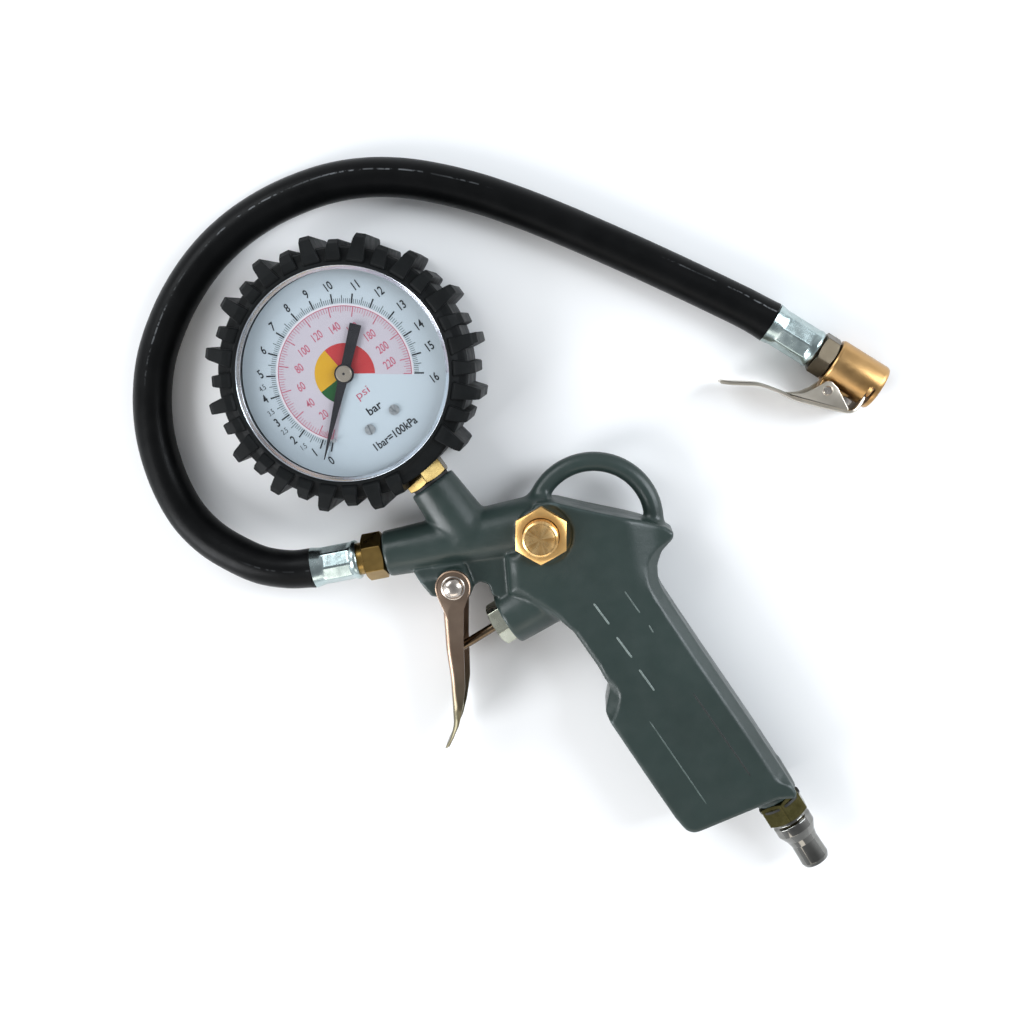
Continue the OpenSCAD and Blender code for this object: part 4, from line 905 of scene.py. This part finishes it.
def trigger_shape():
    made = Shape()
    half, t, bend = 10.5, 1.2, 1.6
    rings = []
    for y in [-5.0 - 49.0 * k / 48 for k in range(49)]:
        front = at_height(FRONT, y)
        back = max(at_height(REAR, y), front + 0.1)
        spread = half * min(1.0, 0.62 + 0.38 * ((54.4 + y) / 14.0)) if y < -40.4 else half
        r = min(bend + float(ramp(-y, 34, 46)), max(0.3, back - front))
        inner = max(r - t, 0.15)
        near = min(front + r + 0.3, back)
        hollow, cheek = front + t, spread - t
        outline = [(back, -spread), (near, -spread), *bend_round(front, spread, r, -1),
                   *bend_round(front, spread, r, 1)[::-1], (near, spread), (back, spread), (back, cheek),
                   (near, cheek), *bend_round(hollow, cheek, inner, 1),
                   *bend_round(hollow, cheek, inner, -1)[::-1], (near, -cheek), (back, -cheek)]
        rings.append([(PIVOT[0] + x if x <= back + t else PIVOT[0] + back, PIVOT[1] + y, AXIS_Z + z)
                      for x, z in outline])
    made.shell(rings)
    ear = fillet([spin(6, a) for a in np.radians(np.arange(-30, 191, 10))]
                 + [(-5.2, -4.6), (-4.4, -8), (-3.9, -12), (0.8, -12), (1.5, -8.6), (3.4, -5.4)], 0.2, 1)
    for side in (-1, 1):
        z = AXIS_Z + side * (half - t / 2)
        made.prism(ear, z - t / 2 + 0.004, z + t / 2 - 0.004, 0.15, Matrix.Translation((*PIVOT, 0)))
        rim = []
        for k in range(41):
            a = math.radians(-42 + 6.0 * k)
            tube = 0.34 * min(1.0, 0.1 + min(k, 40 - k) / 4)
            rim.append([(PIVOT[0] + (5.62 + tube * math.cos(b)) * math.cos(a),
                         PIVOT[1] + (5.62 + tube * math.cos(b)) * math.sin(a),
                         AXIS_Z + side * (half + tube * math.sin(b)))
                        for b in np.radians(np.arange(0, 360, 45))])
        made.shell(rim)
    return made


part("trigger_lever", trigger_shape(), "nickel", "trigger", look="nickel_brown")
rivet = Shape()
head = [(3.95, 0.0), (3.95, 0.2), (3.7, 0.36), (3.5, 0.38)]
head += [(3.42 * math.cos(a), 0.36 + 1.95 * math.sin(a))
         for a in np.radians([10, 20, 32, 44, 56, 68, 79, 87])]
for side in (0, 1):
    turn = Matrix.Rotation(math.pi * side, 4, "X")
    rivet.lathe([(2.0, -11.0)] + head, Matrix.Translation((*PIVOT, AXIS_Z)) @ turn
                @ Matrix.Translation((0, 0, 10.55)), 56)
part("trigger_rivet", rivet, "steel")

# inlet plug
hexagon = Shape().nut(14, -1.6, 6.4, foot_at(0), slope=0.5)
# the hexagon's dark, olive chrome is a painted reflection
piece("plug_hexagon", hexagon.mesh("plug_hexagon"), "chrome_olive_reflection")
plug = Shape()
plug.lathe(fillet([(5.9, 6.0), (5.9, 7.4), (6.8, 8.2), (6.8, 11.2), (5.3, 14.2), (4.75, 16.5), (4.9, 21.8),
                   (5.0, 23.4), (4.4, 24.9), (3.3, 25.0), (3.2, 24.0)], 0.5, 4, False), foot_at(0), 72)
part("inlet_plug", plug, "chrome")

# chuck
adapter = Shape().nut(13, 17.5, 23.2, chuck_at(0), turn=math.radians(15), slope=0.55)
for r, low, high in ((5.2, 15.4, 18.4), (4.8, 23.0, 25.4)):
    adapter.lathe([(r, low), (r, high)], chuck_at(0))
part("chuck_adapter", adapter, "nickel")


def cut(mesh, cutter):
    """Takes the cutter's mesh away from a mesh."""
    made = [add("cut_from", mesh), add("cut_with", cutter)]
    tool = made[0].modifiers.new("cut", "BOOLEAN")
    tool.operation = "DIFFERENCE"
    tool.solver = "EXACT"
    tool.object = made[1]
    shape = made[0].evaluated_get(bpy.context.evaluated_depsgraph_get())
    out = bpy.data.meshes.new_from_object(shape)
    for each in made:
        bpy.data.objects.remove(each)
    smooth(out, 32)
    return out


def chuck_body():
    """Brass barrel of the chuck, with the lug for the lever and the slot for its jaw."""
    barrel = Shape().lathe([(4.15, 40.9), (4.6, 41.35), (6.7, 41.35), (7.3, 41.1), (7.62, 40.5), (7.7, 39.8),
                            (7.7, 24.3), (7.6, 23.9), (7.3, 23.5), (6.9, 23.42), (4.95, 23.42), (4.95, 33.0),
                            (4.15, 33.05)], chuck_at(0), 120, loop=True)
    slot = Shape().prism([(37.6, -12), (39.7, -12), (39.7, -1.2), (39.2, -0.7), (38.1, -0.7), (37.6, -1.2)],
                         -9.0, 9.0, 0.01, CHUCK_FRAME)
    body = cut(barrel.mesh("chuck_barrel"), slot.mesh("chuck_slot"))
    lug = Shape().prism(fillet([(24, -5), (24, -8), (24.7, -10.8), (26.2, -11.8), (28.2, -11.6),
                                (29.4, -10.2), (35.4, -6.6), (35.4, -5)], 0.6, 3),
                        -3.2, 3.2, 0.4, CHUCK_FRAME)
    with reworked(body) as work:
        work.from_mesh(lug.mesh("chuck_lug"))
    smooth(body, 32)
    return body


piece("look_chuck_body", chuck_body(), "brass_chuck", ("chuck_body",))


# Flat strip with eased edges: shares of its half width and of its half thickness
SECTION = [(1, 0.55), (0.93, 1), (0.5, 1), (0, 1), (-0.5, 1), (-0.93, 1), (-1, 0.55), (-1, -0.55),
           (-0.93, -1), (-0.5, -1), (0, -1), (0.5, -1), (0.93, -1), (1, -0.55)]


def sheet(made, path, wide, thick, matrix):
    """Bent strip: wide gives its half width along the path, which lies in the local XY plane."""
    line = smooth_line([(u, v, 0) for u, v in path], 5)
    rings = []
    for i, p in enumerate(line):
        ahead = (line[min(i + 1, len(line) - 1)] - line[max(i - 1, 0)]).normalized()
        up = Vector((-ahead.y, ahead.x, 0))
        w = float(np.interp(i / (len(line) - 1), np.linspace(0, 1, len(wide)), wide))
        t = thick / 2 * (1 if 0 < i < len(line) - 1 else 0.5)
        ring = []
        for a, b in SECTION:
            ring.append(tuple(p + up * (b * t) + Vector((0, 0, a * w))))
        rings.append(ring)
    made.shell(rings, matrix)


def chuck_lever():
    """Pressed lever: two ears on the pin, the web with its jaw, and the thumb tab."""
    made = Shape()
    ear = fillet([(25.0, -6.7), (26.3, -6.0), (29.2, -6.7), (33.6, -9.3), (36.2, -10.9), (35.6, -11.5),
                  (31, -13.1), (26, -14.7), (20, -16.5), (16.6, -16.9), (18.4, -15.7), (20.8, -14.0),
                  (22.9, -11.0)],
                 [1.2, 1.4, 2, 2, 0.4, 0.4, 4, 4, 2, 0.1, 3, 4, 4], 4)
    for side in (-1, 1):
        z = side * 6.1
        made.prism(ear, z - 0.5, z + 0.5, 0.28, CHUCK_FRAME)
        ring = [(26.9 + 1.75 * math.cos(a), -9.2 + 1.75 * math.sin(a))
                for a in map(math.radians, range(0, 360, 12))]
        made.prism(ring, min(z, z + side * 0.62), max(z, z + side * 0.62), 0.12, CHUCK_FRAME)
    sheet(made, [(38.3, -4.7), (38.3, -6.6), (38.1, -8.6), (37.4, -10.4), (35.8, -11.7), (31, -13.4),
                 (26, -15.0), (20, -16.8), (14, -17.6), (7.7, -19.0), (3, -21.4), (-1, -23.6), (-4, -25.0)],
          [5.2, 5.8, 6.3, 6.64, 6.66, 6.66, 6.66, 6.66, 6.5, 6.2, 5.7, 5.0, 4.2], 1.2, CHUCK_FRAME)
    return made


part("chuck_lever", chuck_lever(), "nickel", "chuck_clip", look="nickel_bright")

# gauge bezel and glass
rim = fillet([(35.05, 24.2), (35.05, 32.3), (34.75, 32.82), (34.1, 32.7), (33.55, 31.9), (33.15, 31.35),
              (32.95, 31.15), (34.3, 31.12), (34.36, 24.2)], 0.22, 3)
part("bezel", Shape().lathe(rim, None, 160, loop=True), "chrome", look="bezel")
part("lens", Shape().lathe([(0.1, 30.72), (34.2, 30.72), (34.2, 31.08), (0.1, 31.1)], None, 96), "clear")


# ---- boot ----

BLOCKS = range(2, 32)       # the places of a full ring of 32 that carry one
BLOCK_STEP = 11.25
BLOCK_FROM = 1.5            # degrees from the stem


def boot_shape():
    made = Shape()
    made.lathe(fillet([(39.2, 0), (40.2, 1), (40.2, 31.0), (39.6, 32.2), (37.4, 32.6), (35.7, 33.3),
                       (35.2, 33.9), (34.5, 33.85), (34.2, 33.3), (34.25, 32.95), (35.15, 32.95),
                       (35.15, 24), (34.38, 23.9), (34.38, 2.5)], 0.35, 3, False), None, 192)
    front, back, wide = 34.6, 0.6, 4.0
    for i in BLOCKS:
        reach, flare = (40.2 + 4.4, 1.02) if i % 2 == 0 else (40.2 + 2.2, 0.9)
        side = [(36.2, back + 2), (37.2, back), (reach - 1.0, back), (reach, back + 1.2),
                (reach, front - 3.4), (reach - 1.5, front - 0.9), (38.4, front), (36.2, front - 0.1),
                (35.4, front - 1.0)]
        lean = 0.10 * math.sin(2.4 * i)
        rings = []
        for y, pull in ((-0.5, 0.35), (-0.43, 0.0), (0.43, 0.0), (0.5, 0.35)):
            ring = inset(fillet(side, [0.5, 0.5, 0.5, 0.5, 1.2, 1.2, 0.5, 0.5, 0.4], 3), pull)
            rings.append([(x, y * wide * flare * (1.42 - 0.6 * (x - 35.3) / 9.3) + lean * (x - 38), z)
                          for x, z in ring])
        made.shell(rings, Matrix.Rotation(STEM + math.radians(BLOCK_FROM + BLOCK_STEP * i), 4, "Z"))
    return made


part("boot", boot_shape(), "rubber")


# ---- dial print ----

HUB_TURN = 11.5      # the dial's angles run clockwise from a line this far below the X axis
TEXT_TURN = math.radians(24)
BARS = [100.7, 109.1, 126.5, 144.1, 161.5, 177.8, 194.6, 210.6, 228.3, 244.3, 260.6, 276.3, 291.8, 309.3,
        328, 344.7, 359.3]
NUMERALS = [99.8, 112, 128.6, 144.7, 162.4, 179.5, 195.8, 213, 228.7, 244.3, 260, 277.7, 293.8, 310.4, 327.1,
            342.1, 362]
PSI = {0: 101.4, 20: 114.1, 40: 138.3, 60: 163.1, 80: 186.1, 100: 209.4, 120: 233.7, 140: 256.4, 160: 277.8,
       180: 300.5, 200: 323.8, 220: 346.5, 232: 359.6}


def polar(angle, r):
    return spin(r, math.radians(-angle - HUB_TURN))


class Ink:
    """Flat print just above the dial, in one colour."""

    def __init__(self, name, rise):
        self.name, self.z = name, DIAL_TOP + rise
        self.points, self.faces = [], []

    def flat(self, outline):
        start = len(self.points)
        self.points += [(x, y, self.z) for x, y in outline]
        self.faces.append(tuple(range(start, start + len(outline))))

    def band(self, r1, r2, first, last):
        count = max(2, int(abs(last - first) / 3))
        angles = [first + (last - first) * k / count for k in range(count + 1)]
        for a, b in zip(angles, angles[1:]):
            self.flat([polar(a, r1), polar(a, r2), polar(b, r2), polar(b, r1)])

    def tick(self, angle, r1, r2, wide):
        (x1, y1), (x2, y2) = polar(angle, r1), polar(angle, r2)
        px, py = (y2 - y1) / (r2 - r1) * wide / 2, -(x2 - x1) / (r2 - r1) * wide / 2
        self.flat([(x1 - px, y1 - py), (x2 - px, y2 - py), (x2 + px, y2 + py), (x1 + px, y1 + py)])

    def words(self, text, centre, height, squeeze=0.72, bold=0.0, length=None):
        curve = bpy.data.curves.new("words", "FONT")
        curve.body = text
        curve.resolution_u = 3
        curve.offset = bold
        made = add("words", curve)
        made_eval = made.evaluated_get(bpy.context.evaluated_depsgraph_get())
        mesh = made_eval.to_mesh()
        spots = [v.co.copy() for v in mesh.vertices]
        polygons = [tuple(f.vertices) for f in mesh.polygons]
        made_eval.to_mesh_clear()
        bpy.data.objects.remove(made)
        low = [min(v[i] for v in spots) for i in (0, 1)]
        high = [max(v[i] for v in spots) for i in (0, 1)]
        grow = height / (high[1] - low[1])
        grow_x = length / (high[0] - low[0]) if length else grow * squeeze
        start = len(self.points)
        c, s = math.cos(TEXT_TURN), math.sin(TEXT_TURN)
        for v in spots:
            x = (v[0] - (low[0] + high[0]) / 2) * grow_x
            y = (v[1] - (low[1] + high[1]) / 2) * grow
            self.points.append((centre[0] + x * c - y * s, centre[1] + x * s + y * c, self.z))
        self.faces += [tuple(start + k for k in polygon) for polygon in polygons]

    def piece(self):
        mesh = new_mesh(self.name, self.points, self.faces)
        with reworked(mesh) as work:
            for face in work.faces:
                if face.normal.z < 0:
                    face.normal_flip()
        piece(self.name, mesh, self.name)


def between(table, share):
    """Angle at a share of the way between the first and the second of two marks."""
    return table[0] + (table[1] - table[0]) * share


def print_dial():
    black, grey, red = Ink("print_black", 0.05), Ink("print_grey", 0.04), Ink("print_red", 0.05)
    pink, white = Ink("print_pink", 0.02), Ink("print_white", 0.03)
    pink.band(0.5, 21.8, 97.5, 360.5)
    white.band(21.75, 22.25, 97.5, 360.5)
    for name, first, last in (("sector_green", 104, 142), ("sector_yellow", 142, 229),
                              ("sector_red", 229, 359)):
        wedge = Ink(name, 0.035)
        wedge.band(0.8, 9.8, first, last)
        wedge.piece()
    for number, angle in enumerate(BARS):
        black.tick(angle, 22.5, 25.6, 0.5)
        if number < 16:
            following = BARS[number + 1]
            parts = 10 if number else 4
            for k in range(1, parts):
                mid = 2 * k == parts
                grey.tick(between((angle, following), k / parts), 22.5, 25.0 if mid else 24.0,
                          0.26 if mid else 0.2)
        r = float(np.interp(number, (0, 1, 6, 12, 16), (28.4, 27.4, 27.4, 28.6, 29.0)))
        black.words(str(number), polar(NUMERALS[number], r), 2.95, 0.72, 0.018)
    for text, angle in (("1.5", 120.3), ("2.5", 137.0), ("3.5", 152.6), ("4.5", 170)):
        black.words(text, polar(angle, 27.3), 1.8, 0.72)
    red.band(21.45, 21.7, 101, 360)
    marks = sorted(PSI.items())
    for (_, first), (high, last) in zip(marks, marks[1:]):
        red.tick(first, 18.3, 21.5, 0.34)
        parts = 10 if high < 230 else 6
        for k in range(1, parts):
            red.tick(between((first, last), k / parts), 19.3 if 2 * k == parts else 19.9, 21.5, 0.16)
    red.tick(359.6, 19.0, 21.5, 0.3)
    for number, angle in ((20, 118.2), (40, 140.3), (60, 163.5), (80, 186.5), (100, 209.5), (120, 234),
                          (140, 258.5), (160, 281), (180, 304), (200, 325.7), (220, 346.5)):
        red.words(str(number), polar(angle, 14.9), 2.8, 0.68, 0.012)
    red.words("psi", (4.5, -7.4), 3.3, length=4.6)
    black.words("bar", (7.0, -12.6), 2.8, length=5.2, bold=0.02)
    black.words("1bar=100kPa", (12.0, -21.9), 2.75, length=16.4, bold=0.02)
    for ink in (black, grey, red, pink, white):
        ink.piece()


print_dial()

# ---- the solids that show as they are ----

SPECIAL = {"dial_screws": "screw", "stop_pin": "screw", "needle_cap": "hub"}
for name in sorted(frame["nodes"]):
    cad = frame["nodes"][name]
    if cad.hide_render:
        continue
    slot = [row["material_slot"] for row in frame["record"]["subparts"] if row["node"] == name][0]
    cad.data.materials.clear()
    cad.data.materials.append(FINISHES[SPECIAL.get(name, slot)])

# the valve's spring, copied into a piece with a mesh of its own; its shortening as the rod is pushed in is
# not made here
spring = frame["nodes"]["valve_spring"]
coil = spring.data.copy()
coil.transform(spring.matrix_world)
coiled = piece("look_valve_spring", coil, "steel", ("valve_spring",))
tuple(valve_at(SPRING_END).translation * MM)
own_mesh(coiled)

# dark centre punch in the needle's cap
cap = frame["nodes"]["needle_cap"]
cap_top = max((cap.matrix_world @ Vector(corner)).z for corner in cap.bound_box) / MM
punch = Shape().lathe([(0.02, -0.1), (0.42, -0.1), (0.42, 0.02), (0.02, 0.03)],
                      Matrix.Translation((0, 0, cap_top)), 24)
piece("cap_punch", punch.mesh("cap_punch"), "needle_black", body="pointer")


# ---- floor and light ----

FLOOR = 1.1      # half the floor's side in metres
FLOOR_Z = -0.0002


def floor():
    mesh = bpy.data.meshes.new("floor")
    mesh.from_pydata([(-FLOOR, -FLOOR, 0), (FLOOR, -FLOOR, 0), (FLOOR, FLOOR, 0), (-FLOOR, FLOOR, 0)],
                     [], [(0, 1, 2, 3)])
    made = add("floor", mesh)
    made.location.z = FLOOR_Z
    mesh.materials.append(finish("floor", (0.86, 0.86, 0.86), (0.88, 0.88, 0.88), (0.7, 0.8), [], scale=3))


LAMPS_AIM = (0.03, -0.03, 0.0)


def lamp(name, place, size, power, colour):
    data = bpy.data.lights.new(name, "AREA")
    data.shape = "RECTANGLE"
    data.size, data.size_y = size
    data.energy = power
    data.color = colour
    made = add(name, data)
    made.location = place
    made.rotation_euler = (Vector(LAMPS_AIM) - Vector(place)).to_track_quat("-Z", "Y").to_euler()


def world(sky, horizon, zenith):
    """Even studio light, bright round the horizon and dimmer overhead."""
    made = bpy.data.worlds.new("studio")
    made.use_nodes = True
    tree = made.node_tree
    back = tree.nodes["Background"]
    back.inputs["Color"].default_value = (*sky, 1)
    height = split(tree, node(tree, "ShaderNodeTexCoord").outputs["Generated"])["Z"]
    link(tree, ranged(tree, height, 0.0, 0.9, horizon, zenith), back.inputs["Strength"])
    bpy.context.scene.world = made


floor()
world((0.93, 0.96, 1.0), 0.95, 0.32)
lamp("window", (-0.60, 0.70, 0.80), (0.8, 0.5), 6.5, (0.93, 0.97, 1.0))
lamp("side", (0.90, 0.10, 0.60), (0.4, 0.8), 9, (0.88, 0.94, 1.0))
lamp("left", (-0.8, -0.35, 0.5), (0.4, 0.8), 9, (0.95, 0.97, 1.0))
lamp("warm", (-0.1, -0.9, 0.55), (0.8, 0.3), 1.5, (1.0, 0.92, 0.82))
bpy.context.scene.view_settings.view_transform = "Standard"
